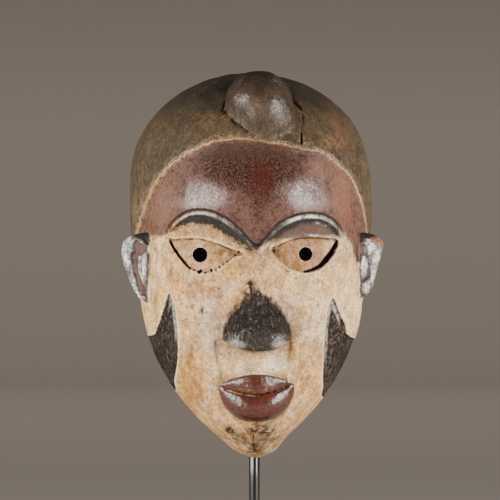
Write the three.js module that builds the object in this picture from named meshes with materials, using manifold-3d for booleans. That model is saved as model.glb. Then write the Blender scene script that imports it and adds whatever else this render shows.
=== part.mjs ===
// A carved and painted wooden face mask on a black steel stand.
// Units are millimetres, +Z is up and the face looks towards -Y.
// The origin is the middle of the stand's underside, below the rod.

import * as THREE from 'three';
import { mergeVertices } from 'three/addons/utils/BufferGeometryUtils.js';
import Module from 'manifold-3d';

const wasm = await Module();
wasm.setup();

// Stand: a square foot, a round rod, a bent strap on the rod that carries the mask under its crown, and a flat bar
// across the rod behind the eyes, which is why the pupils look black from the front.
const BASE_SIDE = 130;
const BASE_THICKNESS = 12;
const BASE_BEVEL = 1;
const BASE_CORNER_RADIUS = 4;
const ROD_RADIUS = 4;
const ROD_SIDES = 24;
const STRAP = { halfSpan: 46, width: 16, thickness: 3, steps: 14, drop: 1.6 };
const CROSS_BAR = { width: 108, height: 26, thickness: 3, corner: 5, z: 261 };
const FIT_GAP = 0.3;

// Mask: overall sizes. Its own frame has z = 0 at the chin and y = 0 at the crown's back edge.
const MASK_HEIGHT = 287;
const CHIN_HEIGHT = 110;
const MASK_X = -2;
const ROD_Y_IN_MASK = -36;
const HALF_WIDTH = 90;
const WIDEST_Z = 206;
const CAP_RISE = MASK_HEIGHT - WIDEST_Z;
const JAW_POWER = 3.2;
const JAW_ROUNDING = 0.86;
const CHIN_TIP = { halfWidth: 8, rise: 6, fade: 9 };
const CHIN_SHIFT = { x: 4.2, below: 26 };
const CAP_BULGE = { share: 0.02, from: 225, to: 260 };
const FULL_DEPTH = 104;
const JAW_DEPTH_LOSS = 0.2;
const PROFILE_POWER = 2.4;
const SECTION_POWER = 2.25;
const RIM_LEAN = 42;
const WALL = 10;
const FACE_WALL = 12;

// Mask: the face in thirds, from hairline to brow, brow to nose base, nose base to chin.
const HAIRLINE_Z = 237;
const FACE_THIRD = HAIRLINE_Z / 3;
const NOSE_BASE_Z = FACE_THIRD;
const BROW_Z = 2 * FACE_THIRD;

// Hairline: where a sloping plane cuts the head. The cap above it stands proud.
const HAIRLINE_Y = -106;
const HAIRLINE_SLOPE = 1.28;
const CAP_LEDGE = { height: 2.6, width: 3, fadeFrom: 8, fadeTo: 45 };

// Topknot: an egg that narrows downwards and leans back with the slope of the cap.
const KNOT = { x: 2.5, y: -79, z: 260, radius: [25, 29, 24.5], taper: 0.28, lean: 14 };

// Brows: raised arcs over each eye socket, which is sunk below them.
const BROW = { x: 36, z: 147.5, radius: 33, from: 156, to: 24, halfWidth: 5.2, raise: 3.6, socketSink: 3.4 };

// Eyes: leaves between two curves on a rising line, sunk a little.
const EYE = { x: 37, z: 157, halfWidth: 25, rise: 4.5, above: 5, below: 19.5, sink: 3 };
const PUPILS = [{ x: -41, z: 150.5 }, { x: 35.5, z: 151 }];
const PUPIL_RADIUS = 5.3;
const PUPIL_SIDES = 24;

// Nose: a low bridge that runs into a broad pear, which stands furthest out just above its base.
const NOSE = {
  topZ: BROW_Z - 3, pearTopZ: 124, wideZ: 87, baseZ: NOSE_BASE_Z - 2, baseArch: 5,
  bridgeHalfWidth: 9, halfWidth: 26, bridgeRaise: 8, raise: 18,
};

// Lips: two lens shapes about a slit that rises to its corners, on a sunk panel below the nose.
const MOUTH = { halfWidth: 29, cornerZ: 53.6, slitZ: 45, upper: 7.4, lower: 26.8, raise: 8, slitDepth: 4 };
const LIP_PANEL = { halfWidth: 29.5, top: 86, bottom: 54, sink: 2.2 };
const MUZZLE = { z: 48, halfWidth: 34, halfHeight: 26, raise: 4 };

// Cheek patches: sunk kite shapes on the sides of the jaw.
const PATCH = { apexX: 60, apexZ: 119, innerX: 54, outerX: 77, outerZ: 89, sink: 2.4 };

// Ears: leaf-shaped slabs with a rolled outer edge, turned half forwards. The left one narrows sooner.
const EAR = { x: 78, y: -66, z: 141, turn: 47, halfHeight: 25.8, width: 24, root: 12, halfThickness: 4.5 };
const EAR_TAPER = { right: { from: 0.6, power: 1.5 }, left: { from: 0.8, power: 0.9 }, loss: 0.75 };
const EAR_HELIX = { width: 8, raise: 2.6 };
const EAR_LENS = { p: 6, q: -3, halfWidth: 5.5, halfHeight: 13, raise: 3 };

// How finely the mask is faceted. Each inner cell on the rim meets three outer ones.
const INNER_CELLS = 17;
const RIM_RATIO = 3;
const OUTER_CELLS = RIM_RATIO * INNER_CELLS;
const FRONT_CROWDING = 0.32;
const MOUTH_CROWDING = 0.14;
const EAR_GRID = [14, 16];
const KNOT_GRID = [10, 18];
const NOSE_ROWS = [0, 0.04, 0.09, 0.15, 0.22, 0.3, 0.38, 0.46, 0.54, 0.63, 0.74, 0.87, 1];
const NOSE_COLUMNS = [-1, -0.93, -0.78, -0.58, -0.36, -0.15, 0, 0.15, 0.36, 0.58, 0.78, 0.93, 1];
const LIP_ROWS = [-1, -0.92, -0.75, -0.5, -0.22, 0, 0.22, 0.5, 0.78, 0.93, 1];
const LIP_COLUMNS = [-0.99, -0.9, -0.75, -0.58, -0.4, -0.2, -0.08, 0, 0.08, 0.2, 0.4, 0.58, 0.75, 0.9, 0.99];
const BROW_ROWS = [-1, -0.6, 0, 0.6, 1];
const BROW_COLUMNS = [-1, -0.85, -0.65, -0.45, -0.22, 0, 0.22, 0.45, 0.65, 0.85, 1];
const BLOCK_ROOT = 5;

const { clamp, degToRad, lerp } = THREE.MathUtils;

/** A smooth step from 0 where value is from, to 1 where it is to; from may be the larger. */
function ramp(value, from, to) {
  const t = clamp((value - from) / (to - from), 0, 1);
  return t * t * (3 - 2 * t);
}

/** A smooth hill of height 1 at zero, nearly flat beyond twice its width. */
const hill = (distance, width) => Math.exp(-((distance / width) ** 2));

/** The half-width of the mask at height z: an elliptical cap over a tapering jaw. */
function halfWidthAt(z) {
  if (z > WIDEST_Z) return HALF_WIDTH * Math.sqrt(Math.max(0, 1 - ((z - WIDEST_Z) / CAP_RISE) ** 2));
  const fall = (WIDEST_Z - z) / WIDEST_Z;
  const tip = CHIN_TIP.halfWidth * Math.sqrt(Math.max(0, z) / CHIN_TIP.rise) * hill(z, CHIN_TIP.fade);
  return HALF_WIDTH * Math.max(0, 1 - fall ** JAW_POWER) ** JAW_ROUNDING + tip;
}

/** The carver's unevenness: the crown bulges on the left, and the chin's tip leans to the left. */
function unevenX(x, z) {
  const bulge = x > 0 ? 1 + CAP_BULGE.share * ramp(z, CAP_BULGE.from, CAP_BULGE.to) : 1;
  return x * bulge + CHIN_SHIFT.x * ramp(z, CHIN_SHIFT.below, 0);
}

/** The depth of the plain head from its back edge to its front at height z. */
function depthAt(z) {
  const above = z > WIDEST_Z;
  const reach = Math.min(1, above ? (z - WIDEST_Z) / CAP_RISE : (WIDEST_Z - z) / WIDEST_Z);
  const depth = above ? FULL_DEPTH : FULL_DEPTH * (1 - JAW_DEPTH_LOSS * reach);
  return depth * (1 - reach ** PROFILE_POWER) ** (1 / PROFILE_POWER);
}

/** The flat back edge leans forwards towards the chin. */
const rimYAt = (z) => -RIM_LEAN * (1 - z / MASK_HEIGHT);

/** A point of the square -1..1 by -1..1 laid over the front half of a ball. */
function squareToBall(u, v) {
  const a = u * Math.sqrt(1 - (v * v) / 2);
  const b = v * Math.sqrt(1 - (u * u) / 2);
  const radius = Math.min(1, Math.hypot(a, b));
  const spread = radius > 0 ? Math.sin((radius * Math.PI) / 2) / radius : Math.PI / 2;
  return { side: a * spread, front: Math.cos((radius * Math.PI) / 2), up: b * spread };
}

/** The plain head at (u, v): level sections that are half of a rounded rectangle. */
function plainHead(u, v) {
  const ball = squareToBall(u, v);
  const z = (MASK_HEIGHT / 2) * (1 + ball.up);
  const turn = Math.atan2(ball.side, Math.max(0, ball.front));
  const s = Math.sin(turn);
  const c = Math.max(0, Math.cos(turn));
  const k = (Math.abs(s) ** SECTION_POWER + c ** SECTION_POWER) ** (-1 / SECTION_POWER);
  return new THREE.Vector3(unevenX(halfWidthAt(z) * k * s, z), rimYAt(z) - depthAt(z) * k * c, z);
}

/** How far a point lies above the hairline, in the slope of the cut. */
const aboveHairline = (p) => (p.z - HAIRLINE_Z + HAIRLINE_SLOPE * (p.y - HAIRLINE_Y)) / Math.hypot(1, HAIRLINE_SLOPE);

/** How far inside the eye's outline a point lies. */
function eyeInside(x, z) {
  const s = (Math.abs(x) - EYE.x) / EYE.halfWidth;
  const line = EYE.z + EYE.rise * s;
  const open = Math.max(0, 1 - s * s);
  const inside = Math.min(line + EYE.above * open * (1 - 0.4 * s) - z, z - line + EYE.below * open);
  return Math.abs(s) < 1 ? inside : -(Math.abs(s) - 1) * EYE.halfWidth;
}

/** The eye socket below the brow. */
function socketRelief(x, z) {
  const outside = Math.hypot(Math.abs(x) - BROW.x, z - BROW.z) - BROW.radius;
  return -BROW.socketSink * ramp(outside, -2, -12) * ramp(z, 120, 150);
}

/** The sunk leaf of the eye, swelling a little in its middle. */
function eyeRelief(x, z) {
  const inside = eyeInside(x, z);
  return -EYE.sink * ramp(inside, -1.5, 1.5) + 1.6 * ramp(inside, 2, 10);
}

/** The swelling around the mouth and the sunk panel between nose and lips. */
function muzzleRelief(x, z) {
  const muzzle = MUZZLE.raise * hill(Math.hypot(x / MUZZLE.halfWidth, (z - MUZZLE.z) / MUZZLE.halfHeight), 0.9);
  const side = ramp(Math.abs(x), LIP_PANEL.halfWidth + 1.5, LIP_PANEL.halfWidth - 1.5);
  const height = ramp(z, LIP_PANEL.bottom - 4, LIP_PANEL.bottom + 4) * ramp(z, LIP_PANEL.top + 3, LIP_PANEL.top - 3);
  return muzzle - LIP_PANEL.sink * side * height;
}

/** Everything that swells or sinks on the front of the face, apart from the nose and the lips. */
function faceRelief(x, z) {
  const bosses = 3 * hill(Math.hypot((Math.abs(x) - 34) / 24, (z - 200) / 20), 1);
  const dip = 1.5 * hill(Math.hypot(x / 9, (z - 172) / 14), 1);
  const chin = 3.5 * hill(Math.hypot(x / 16, (z - 12) / 12), 1);
  return bosses - dip + chin + socketRelief(x, z) + eyeRelief(x, z) + muzzleRelief(x, z);
}

/** The y of the face's front at (x, z). */
function frontY(x, z) {
  const k = Math.min(1, Math.abs(x) / halfWidthAt(z));
  return rimYAt(z) - depthAt(z) * (1 - k ** SECTION_POWER) ** (1 / SECTION_POWER) - faceRelief(x, z);
}

/** How far inside a cheek patch a point lies. */
function patchInside(p) {
  const x = Math.abs(p.x);
  const inner = x - lerp(PATCH.innerX, PATCH.apexX, ramp(p.z, 90, PATCH.apexZ) ** 2);
  const slope = (PATCH.apexZ - PATCH.outerZ) / (PATCH.outerX - PATCH.apexX);
  const upper = (PATCH.apexZ - slope * (x - PATCH.apexX) - p.z) / Math.hypot(1, slope);
  return Math.min(inner, upper, (PATCH.outerZ + 30 - p.z) * 0.5, -p.y - 34);
}

/** The carved head at (u, v): the plain head with every relief laid on it. */
function carvedHead(u, v) {
  const p = plainHead(u, v);
  const outwards = new THREE.Vector3(p.x / HALF_WIDTH, p.y / FULL_DEPTH, (p.z - 170) / 115).normalize();
  const front = faceRelief(p.x, p.z) * ramp(-outwards.y, 0.15, 0.55);
  const below = -aboveHairline(p);
  const ledge = -CAP_LEDGE.height * ramp(below, 0, CAP_LEDGE.width) * ramp(below, CAP_LEDGE.fadeTo, CAP_LEDGE.fadeFrom);
  const patch = -PATCH.sink * ramp(patchInside(p), 0, 1.6) * ramp(rimYAt(p.z) - p.y, 4, 16);
  const onEdge = Math.max(Math.abs(u), Math.abs(v)) === 1;
  p.y -= onEdge ? 0 : front;
  outwards.y = onEdge ? 0 : outwards.y;
  return p.addScaledVector(outwards, ledge + patch);
}

/** The height in the hollow that belongs to height z of the plain head. */
const hollowZ = (z) => 0.8 * WALL + (z * (MASK_HEIGHT - 1.9 * WALL)) / MASK_HEIGHT;

/** The flat back edge's y at that height in the hollow. */
const hollowRimY = (z) => rimYAt(hollowZ(z));

/** The hollow's surface at (u, v): the plain head, thinned by the wall. */
function hollowHead(u, v) {
  const p = plainHead(u, v);
  const reach = p.y - rimYAt(p.z);
  return new THREE.Vector3(
    p.x * (1 - WALL / HALF_WIDTH),
    hollowRimY(p.z) + reach * (1 - FACE_WALL / FULL_DEPTH),
    hollowZ(p.z),
  );
}

/** A grid line's place from -1 to 1; lines crowd together on the front, and rows a little towards the mouth. */
function gridLine(share, shift) {
  const t = 2 * share - 1;
  return t * (1 - FRONT_CROWDING + FRONT_CROWDING * t * t) - shift * (1 - t * t);
}

/** The surface point at a row and column, which may lie between the grid's lines. */
function gridPoint(cells, row, column, pointAt) {
  return pointAt(gridLine(column / cells, 0), gridLine(row / cells, MOUTH_CROWDING));
}

/** A square grid of points as rows of a point list. */
function sheet(cells, pointAt) {
  const points = [];
  for (let row = 0; row <= cells; row += 1) {
    for (let column = 0; column <= cells; column += 1) points.push(gridPoint(cells, row, column, pointAt));
  }
  return points;
}

/** The triangles of a square grid. Each cell is cut along the diagonal that passes closer to the true surface. */
function sheetTriangles(cells, points, first, pointAt, inwards) {
  const triangles = [];
  for (let row = 0; row < cells; row += 1) {
    for (let column = 0; column < cells; column += 1) {
      const a = first + row * (cells + 1) + column;
      const [b, c, d] = [a + 1, a + cells + 2, a + cells + 1];
      const middle = gridPoint(cells, row + 0.5, column + 0.5, pointAt);
      const miss = (from, to) => points[from].clone().lerp(points[to], 0.5).distanceTo(middle);
      const cell = miss(a, c) < miss(b, d) ? [a, b, c, a, c, d] : [a, b, d, b, c, d];
      triangles.push(...(inwards ? cell.reverse() : cell));
    }
  }
  return triangles;
}

/** The grid's edge vertices in order round the four sides. */
function edgeLoop(cells, first) {
  const at = (row, column) => first + row * (cells + 1) + column;
  const loop = [];
  for (let i = 0; i < cells; i += 1) loop.push(at(0, i));
  for (let i = 0; i < cells; i += 1) loop.push(at(i, cells));
  for (let i = cells; i > 0; i -= 1) loop.push(at(cells, i));
  for (let i = cells; i > 0; i -= 1) loop.push(at(i, 0));
  return loop;
}

/** The flat back edge, in a fan from each inner edge to the outer edges beside it. */
function rimTriangles(outer, inner) {
  const triangles = [];
  const middle = Math.floor(RIM_RATIO / 2);
  inner.forEach((a, i) => {
    const b = inner[(i + 1) % inner.length];
    for (let step = 0; step < RIM_RATIO; step += 1) {
      const from = outer[RIM_RATIO * i + step];
      const to = outer[(RIM_RATIO * i + step + 1) % outer.length];
      triangles.push(from, step > middle ? b : a, to);
      if (step === middle) triangles.push(to, a, b);
    }
  });
  return triangles;
}

/** A closed solid from points and triangles. */
function solidOf(points, triangles) {
  const vertProperties = new Float32Array(points.flatMap((p) => [p.x, p.y, p.z]));
  return new wasm.Manifold(new wasm.Mesh({ numProp: 3, vertProperties, triVerts: new Uint32Array(triangles) }));
}

/** A closed solid from a three.js geometry whose vertices are merged first. */
function solidFrom(geometry) {
  const bare = geometry.clone();
  bare.deleteAttribute('normal');
  bare.deleteAttribute('uv');
  const merged = mergeVertices(bare, 1e-3);
  return new wasm.Manifold(new wasm.Mesh({
    numProp: 3,
    vertProperties: new Float32Array(merged.attributes.position.array),
    triVerts: new Uint32Array(merged.index.array),
  }));
}

/** A three.js geometry from a closed solid. */
function geometryFrom(solid) {
  const mesh = solid.getMesh();
  const geometry = new THREE.BufferGeometry();
  geometry.setAttribute('position', new THREE.BufferAttribute(new Float32Array(mesh.vertProperties), 3));
  geometry.setIndex(new THREE.BufferAttribute(new Uint32Array(mesh.triVerts), 1));
  return geometry;
}

/** A closed surface with two poles: pointAt takes a height from -1 to 1 and a turn in radians. */
function poledSolid([rings, sides], pointAt) {
  const points = [pointAt(-1, 0)];
  for (let ring = 1; ring < rings; ring += 1) {
    const height = -Math.cos((Math.PI * ring) / rings);
    for (let side = 0; side < sides; side += 1) points.push(pointAt(height, (2 * Math.PI * side) / sides));
  }
  points.push(pointAt(1, 0));
  const at = (ring, side) => 1 + (ring - 1) * sides + (side % sides);
  const last = points.length - 1;
  const triangles = [];
  for (let side = 0; side < sides; side += 1) {
    triangles.push(0, at(1, side + 1), at(1, side));
    triangles.push(last, at(rings - 1, side), at(rings - 1, side + 1));
    for (let ring = 1; ring < rings - 1; ring += 1) {
      const [a, b, c, d] = [at(ring, side), at(ring, side + 1), at(ring + 1, side + 1), at(ring + 1, side)];
      triangles.push(a, b, c, a, c, d);
    }
  }
  return solidOf(points, triangles);
}

/** The topknot, as an egg whose lower half is narrower. */
function knotSolid() {
  return poledSolid(KNOT_GRID, (height, turn) => {
    const ring = Math.sqrt(Math.max(0, 1 - height * height));
    const narrow = 1 - KNOT.taper * ramp(-height, -0.2, 1);
    return new THREE.Vector3(
      KNOT.x + KNOT.radius[0] * ring * narrow * Math.cos(turn),
      KNOT.y + KNOT.radius[1] * ring * Math.sin(turn) + KNOT.lean * height,
      KNOT.z + KNOT.radius[2] * height,
    );
  });
}

/** How far an ear reaches outwards at a height from -1 to 1: square at the top, narrowing to its lobe. */
function earReach(side, height) {
  const { from, power } = side > 0 ? EAR_TAPER.left : EAR_TAPER.right;
  const narrow = 1 - EAR_TAPER.loss * clamp((from - height) / (from + 1), 0, 1) ** power;
  return EAR.width * Math.max(0, 1 - height ** 8) ** 0.4 * narrow;
}

/** Raised carving on the ear's front, p outwards and q up from its root. */
function earRelief(side, p, q) {
  const height = q / EAR.halfHeight;
  const fromEdge = Math.min(earReach(side, height) - p, (1 - Math.abs(height)) * EAR.halfHeight * 0.9);
  const helix = EAR_HELIX.raise * (1 - ramp(fromEdge, EAR_HELIX.width - 2, EAR_HELIX.width + 1));
  const lens = Math.hypot((p - EAR_LENS.p) / EAR_LENS.halfWidth, (q - EAR_LENS.q) / EAR_LENS.halfHeight);
  return helix + EAR_LENS.raise * (1 - ramp(lens, 0.7, 1.1));
}

/** One ear; side is -1 or 1. */
function earSolid(side) {
  const turn = degToRad(EAR.turn);
  return poledSolid(EAR_GRID, (height, around) => {
    const q = EAR.halfHeight * height;
    const reach = (earReach(side, height) + EAR.root) / 2;
    const [c, s] = [Math.cos(around), side * Math.sin(around)];
    const k = (Math.abs(c) ** 3 + Math.abs(s) ** 3) ** (-1 / 3);
    const p = reach - EAR.root + reach * k * c;
    const thin = Math.sqrt(Math.max(0, 1 - height ** 6));
    const front = s < 0 ? earRelief(side, p, q) * thin * ramp(-s, 0, 0.6) : 0;
    const out = -EAR.halfThickness * k * s * thin + front;
    return new THREE.Vector3(
      side * (EAR.x + p * Math.cos(turn) + out * Math.sin(turn)),
      EAR.y + p * Math.sin(turn) - out * Math.cos(turn),
      EAR.z + q,
    );
  });
}

/** A carved block on the face: a grid of points, their heights over the face, and a back inside the wall. */
function faceBlock(rows, columns, placeAt) {
  const [front, back] = [[], []];
  rows.forEach((row) => columns.forEach((column) => {
    const { x, z, height } = placeAt(row, column);
    const y = frontY(x, z);
    front.push(new THREE.Vector3(x, y - height, z));
    back.push(new THREE.Vector3(x, y + BLOCK_ROOT, z));
  }));
  const [wide, high] = [columns.length, rows.length];
  const behind = front.length;
  const triangles = [];
  for (let row = 0; row < high - 1; row += 1) {
    for (let column = 0; column < wide - 1; column += 1) {
      const a = row * wide + column;
      const [b, c, d] = [a + 1, a + wide + 1, a + wide];
      const cell = column < (wide - 1) / 2 ? [a, b, c, a, c, d] : [a, b, d, b, c, d];
      triangles.push(...cell, ...cell.map((corner) => corner + behind).reverse());
    }
  }
  const loop = [];
  for (let i = 0; i < wide - 1; i += 1) loop.push(i);
  for (let i = 0; i < high - 1; i += 1) loop.push(i * wide + wide - 1);
  for (let i = wide - 1; i > 0; i -= 1) loop.push((high - 1) * wide + i);
  for (let i = high - 1; i > 0; i -= 1) loop.push(i * wide);
  loop.forEach((a, i) => {
    const b = loop[(i + 1) % loop.length];
    triangles.push(b, a, a + behind, b, a + behind, b + behind);
  });
  return solidOf([...front, ...back], triangles);
}

/** The nose: a narrow bridge that opens into a pear, widest and highest near its base. */
function noseSolid() {
  return faceBlock(NOSE_ROWS, NOSE_COLUMNS, (share, across) => {
    const z = lerp(NOSE.baseZ, NOSE.topZ, share);
    const t = z > NOSE.wideZ ? (z - NOSE.wideZ) / (NOSE.pearTopZ - NOSE.wideZ) : (NOSE.wideZ - z) / (NOSE.wideZ - NOSE.baseZ);
    const up = z > NOSE.wideZ;
    const pear = NOSE.halfWidth * (up ? Math.max(0, 1 - t ** 1.8) ** 0.9 : Math.sqrt(1 - 0.75 * t ** 2.4));
    const width = Math.hypot(pear, up ? NOSE.bridgeHalfWidth * ramp(share, 1.1, 0.55) : 0);
    const pearHeight = NOSE.raise * (up ? Math.max(0, 1 - t ** 1.5) : Math.sqrt(1 - 0.96 * t ** 2.2));
    const bridge = up ? NOSE.bridgeRaise * ramp(share, 1, 0.45) * ramp(t, 0, 0.5) : 0;
    const height = Math.max(pearHeight, bridge) * (1 - Math.abs(across) ** 2.4) ** 0.6;
    const arch = NOSE.baseArch * across * across * (1 - share) ** 4;
    return { x: width * across, z: z + arch, height: height - (Math.abs(across) === 1 || share === 1 ? 1.5 : 0) };
  });
}

/** A brow: a rounded arc, with its columns along the arc and its rows across it. */
function browSolid(side) {
  return faceBlock(BROW_ROWS, BROW_COLUMNS, (across, along) => {
    const angle = degToRad(lerp(BROW.from, BROW.to, (1 + side * along) / 2));
    const taper = (1 - along ** 4) ** 0.5;
    const radius = BROW.radius + across * BROW.halfWidth * Math.max(0.35, taper);
    const height = BROW.raise * taper * (1 - across * across) ** 0.7;
    return {
      x: side * (BROW.x + radius * Math.cos(angle)),
      z: BROW.z + radius * Math.sin(angle),
      height: height - (Math.abs(across) === 1 || Math.abs(along) === 1 ? 1.2 : 0),
    };
  });
}

/** Both lips: a lens whose middle row of points lies in the slit between them. */
function lipsSolid() {
  return faceBlock(LIP_ROWS, LIP_COLUMNS, (row, across) => {
    const reach = Math.abs(across);
    const slit = lerp(MOUTH.slitZ, MOUTH.cornerZ, reach ** 1.3);
    const top = MOUTH.cornerZ + MOUTH.upper * (1 - reach ** 3) - 1.2 * hill(across, 0.12);
    const bottom = MOUTH.cornerZ - MOUTH.lower * Math.sqrt(1 - reach ** 2.6);
    const z = row > 0 ? lerp(slit, top, row) : lerp(slit, bottom, -row);
    const full = MOUTH.raise * Math.sqrt(1 - Math.abs(row) ** 2.4) * (1 - reach ** 3.5);
    const slitDepth = row === 0 ? MOUTH.slitDepth * (1 - reach ** 6) : 0;
    return { x: MOUTH.halfWidth * across, z, height: full - slitDepth - (Math.abs(row) === 1 ? 1.5 : 0) };
  });
}

/** A pupil's cutter: a round rod along Y. */
function pupilCutter({ x, z }) {
  const cutter = new THREE.CylinderGeometry(PUPIL_RADIUS, PUPIL_RADIUS, 100, PUPIL_SIDES);
  cutter.translate(x, -90, z);
  return solidFrom(cutter);
}

/** The whole mask as one solid in its own frame. */
function maskSolid() {
  const outer = sheet(OUTER_CELLS, carvedHead);
  const inner = sheet(INNER_CELLS, hollowHead);
  const points = [...outer, ...inner];
  const triangles = [
    ...sheetTriangles(OUTER_CELLS, points, 0, carvedHead, false),
    ...sheetTriangles(INNER_CELLS, points, outer.length, hollowHead, true),
    ...rimTriangles(edgeLoop(OUTER_CELLS, 0), edgeLoop(INNER_CELLS, outer.length)),
  ];
  let mask = solidOf(points, triangles);
  for (const side of [-1, 1]) mask = mask.add(earSolid(side)).add(browSolid(side));
  for (const solid of [knotSolid(), noseSolid(), lipsSolid()]) mask = mask.add(solid);
  for (const pupil of PUPILS) mask = mask.subtract(pupilCutter(pupil));
  return mask;
}

/** A square foot with rounded corners and a small bevel, resting on z = 0. */
function baseGeometry() {
  const half = BASE_SIDE / 2 - BASE_BEVEL;
  const r = BASE_CORNER_RADIUS;
  const outline = new THREE.Shape();
  outline.moveTo(half - r, -half);
  outline.absarc(half - r, -half + r, r, -Math.PI / 2, 0, false);
  outline.absarc(half - r, half - r, r, 0, Math.PI / 2, false);
  outline.absarc(-half + r, half - r, r, Math.PI / 2, Math.PI, false);
  outline.absarc(-half + r, -half + r, r, Math.PI, 1.5 * Math.PI, false);
  const geometry = new THREE.ExtrudeGeometry(outline, {
    depth: BASE_THICKNESS - 2 * BASE_BEVEL,
    bevelThickness: BASE_BEVEL,
    bevelSize: BASE_BEVEL,
    bevelSegments: 2,
    curveSegments: 4,
  });
  geometry.translate(0, 0, BASE_BEVEL);
  return geometry;
}

/** The hollow's height in the mask's frame, above the point (x, y). */
function hollowHeight(x, y) {
  let [low, high] = [WIDEST_Z, MASK_HEIGHT];
  for (let i = 0; i < 40; i += 1) {
    const z = (low + high) / 2;
    const k = Math.min(1, Math.abs(x) / Math.max(1e-6, halfWidthAt(z) * (1 - WALL / HALF_WIDTH)));
    const reach = depthAt(z) * (1 - FACE_WALL / FULL_DEPTH) * (1 - k ** SECTION_POWER) ** (1 / SECTION_POWER);
    const front = hollowRimY(z) - reach;
    if (k < 1 && front < y) low = z;
    else high = z;
  }
  return hollowZ(low);
}

/** The bent strap: a band that follows the crown's inside at a small gap. */
function strapGeometry() {
  const upper = [];
  for (let i = 0; i <= STRAP.steps; i += 1) {
    const x = STRAP.halfSpan * ((2 * i) / STRAP.steps - 1);
    upper.push(new THREE.Vector2(x, hollowHeight(x, ROD_Y_IN_MASK - STRAP.width / 2) - STRAP.drop));
  }
  const lower = upper.map((point, i) => {
    const before = upper[Math.max(0, i - 1)];
    const after = upper[Math.min(upper.length - 1, i + 1)];
    const along = new THREE.Vector2().subVectors(after, before).normalize();
    return new THREE.Vector2(point.x + along.y * STRAP.thickness, point.y - along.x * STRAP.thickness);
  });
  const outline = new THREE.Shape([...lower, ...upper.reverse()]);
  const geometry = new THREE.ExtrudeGeometry(outline, { depth: STRAP.width, bevelEnabled: false });
  geometry.rotateX(Math.PI / 2);
  geometry.translate(0, STRAP.width / 2, CHIN_HEIGHT);
  return geometry;
}

/** The flat cross bar on the rod's front, with rounded ends. */
function crossBarGeometry() {
  const [halfWidth, halfHeight, r] = [CROSS_BAR.width / 2, CROSS_BAR.height / 2, CROSS_BAR.corner];
  const outline = new THREE.Shape();
  outline.absarc(halfWidth - r, -halfHeight + r, r, -Math.PI / 2, 0, false);
  outline.absarc(halfWidth - r, halfHeight - r, r, 0, Math.PI / 2, false);
  outline.absarc(-halfWidth + r, halfHeight - r, r, Math.PI / 2, Math.PI, false);
  outline.absarc(-halfWidth + r, -halfHeight + r, r, Math.PI, 1.5 * Math.PI, false);
  const geometry = new THREE.ExtrudeGeometry(outline, { depth: CROSS_BAR.thickness, bevelEnabled: false, curveSegments: 4 });
  geometry.rotateX(Math.PI / 2);
  geometry.translate(0, -ROD_RADIUS - FIT_GAP, CROSS_BAR.z);
  return geometry;
}

/** The rod, from just above the foot to just below the strap. */
function rodGeometry() {
  const bottom = BASE_THICKNESS + FIT_GAP;
  const top = CHIN_HEIGHT + hollowHeight(0, ROD_Y_IN_MASK - STRAP.width / 2) - STRAP.drop - STRAP.thickness - FIT_GAP;
  const geometry = new THREE.CylinderGeometry(ROD_RADIUS, ROD_RADIUS, top - bottom, ROD_SIDES);
  geometry.rotateX(Math.PI / 2);
  geometry.translate(0, 0, (top + bottom) / 2);
  return geometry;
}

const paintedWood = { color: 0xb99a75, roughness: 0.6, metalness: 0 };
const blackSteel = { color: 0x17171a, roughness: 0.35, metalness: 0.6 };
const group = new THREE.Group();

/** Adds one named piece to the group. */
function addPiece(name, geometry, finish) {
  const piece = new THREE.Mesh(geometry, new THREE.MeshStandardMaterial(finish));
  piece.name = name;
  group.add(piece);
  return piece;
}

addPiece('mask', geometryFrom(maskSolid()), paintedWood).position.set(MASK_X, -ROD_Y_IN_MASK, CHIN_HEIGHT);
addPiece('stand_base', baseGeometry(), blackSteel);
addPiece('stand_rod', rodGeometry(), blackSteel);
addPiece('cradle', strapGeometry(), blackSteel).position.x = MASK_X;
addPiece('cross_bar', crossBarGeometry(), blackSteel).position.x = MASK_X;

export default group;
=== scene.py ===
"""Dresses a carved and painted face mask that stands on a plain rod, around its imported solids.

Lengths are millimetres in the mask's own frame until a mesh is made: x to the mask's left hand, y backwards
with 0 at the crown's back edge, z up with 0 at the chin. The features of the face are laid out on a drawing,
which is the plane of the front view: a to the right and b up, in millimetres at the distance of the rod.
"""

import logging  # noqa: E402
import math  # noqa: E402
from collections.abc import Callable  # noqa: E402
from dataclasses import dataclass, field  # noqa: E402
from enum import Enum  # noqa: E402
from functools import reduce  # noqa: E402

import bmesh  # noqa: E402
import bpy  # noqa: E402
import numpy as np  # noqa: E402
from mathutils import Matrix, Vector  # noqa: E402


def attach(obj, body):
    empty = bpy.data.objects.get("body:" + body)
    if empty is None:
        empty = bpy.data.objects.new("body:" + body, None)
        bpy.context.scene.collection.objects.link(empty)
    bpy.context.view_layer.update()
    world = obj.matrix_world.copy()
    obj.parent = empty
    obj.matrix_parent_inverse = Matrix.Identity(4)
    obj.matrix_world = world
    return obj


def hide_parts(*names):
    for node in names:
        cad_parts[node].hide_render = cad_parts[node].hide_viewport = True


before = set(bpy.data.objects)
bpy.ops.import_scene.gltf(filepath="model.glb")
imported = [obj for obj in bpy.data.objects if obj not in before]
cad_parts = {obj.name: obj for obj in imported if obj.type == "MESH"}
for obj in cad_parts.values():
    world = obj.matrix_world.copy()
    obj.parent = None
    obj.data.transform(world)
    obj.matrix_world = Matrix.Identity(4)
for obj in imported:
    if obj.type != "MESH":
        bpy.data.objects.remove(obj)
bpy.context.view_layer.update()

logging.basicConfig(level=logging.INFO, format="%(message)s")
LOG = logging.getLogger("kongo_mask")

Array = np.ndarray
Colour = tuple[float, float, float]
Point = tuple[float, float]
Points = tuple[Point, ...]
Widths = tuple[float, ...]
Socket = bpy.types.NodeSocket
Value = float | Socket
Paint = Colour | Socket
Rows = tuple[tuple[float, ...], ...]
StainsAndLight = tuple[tuple[float, float, float, float, float, Colour], ...]

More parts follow.
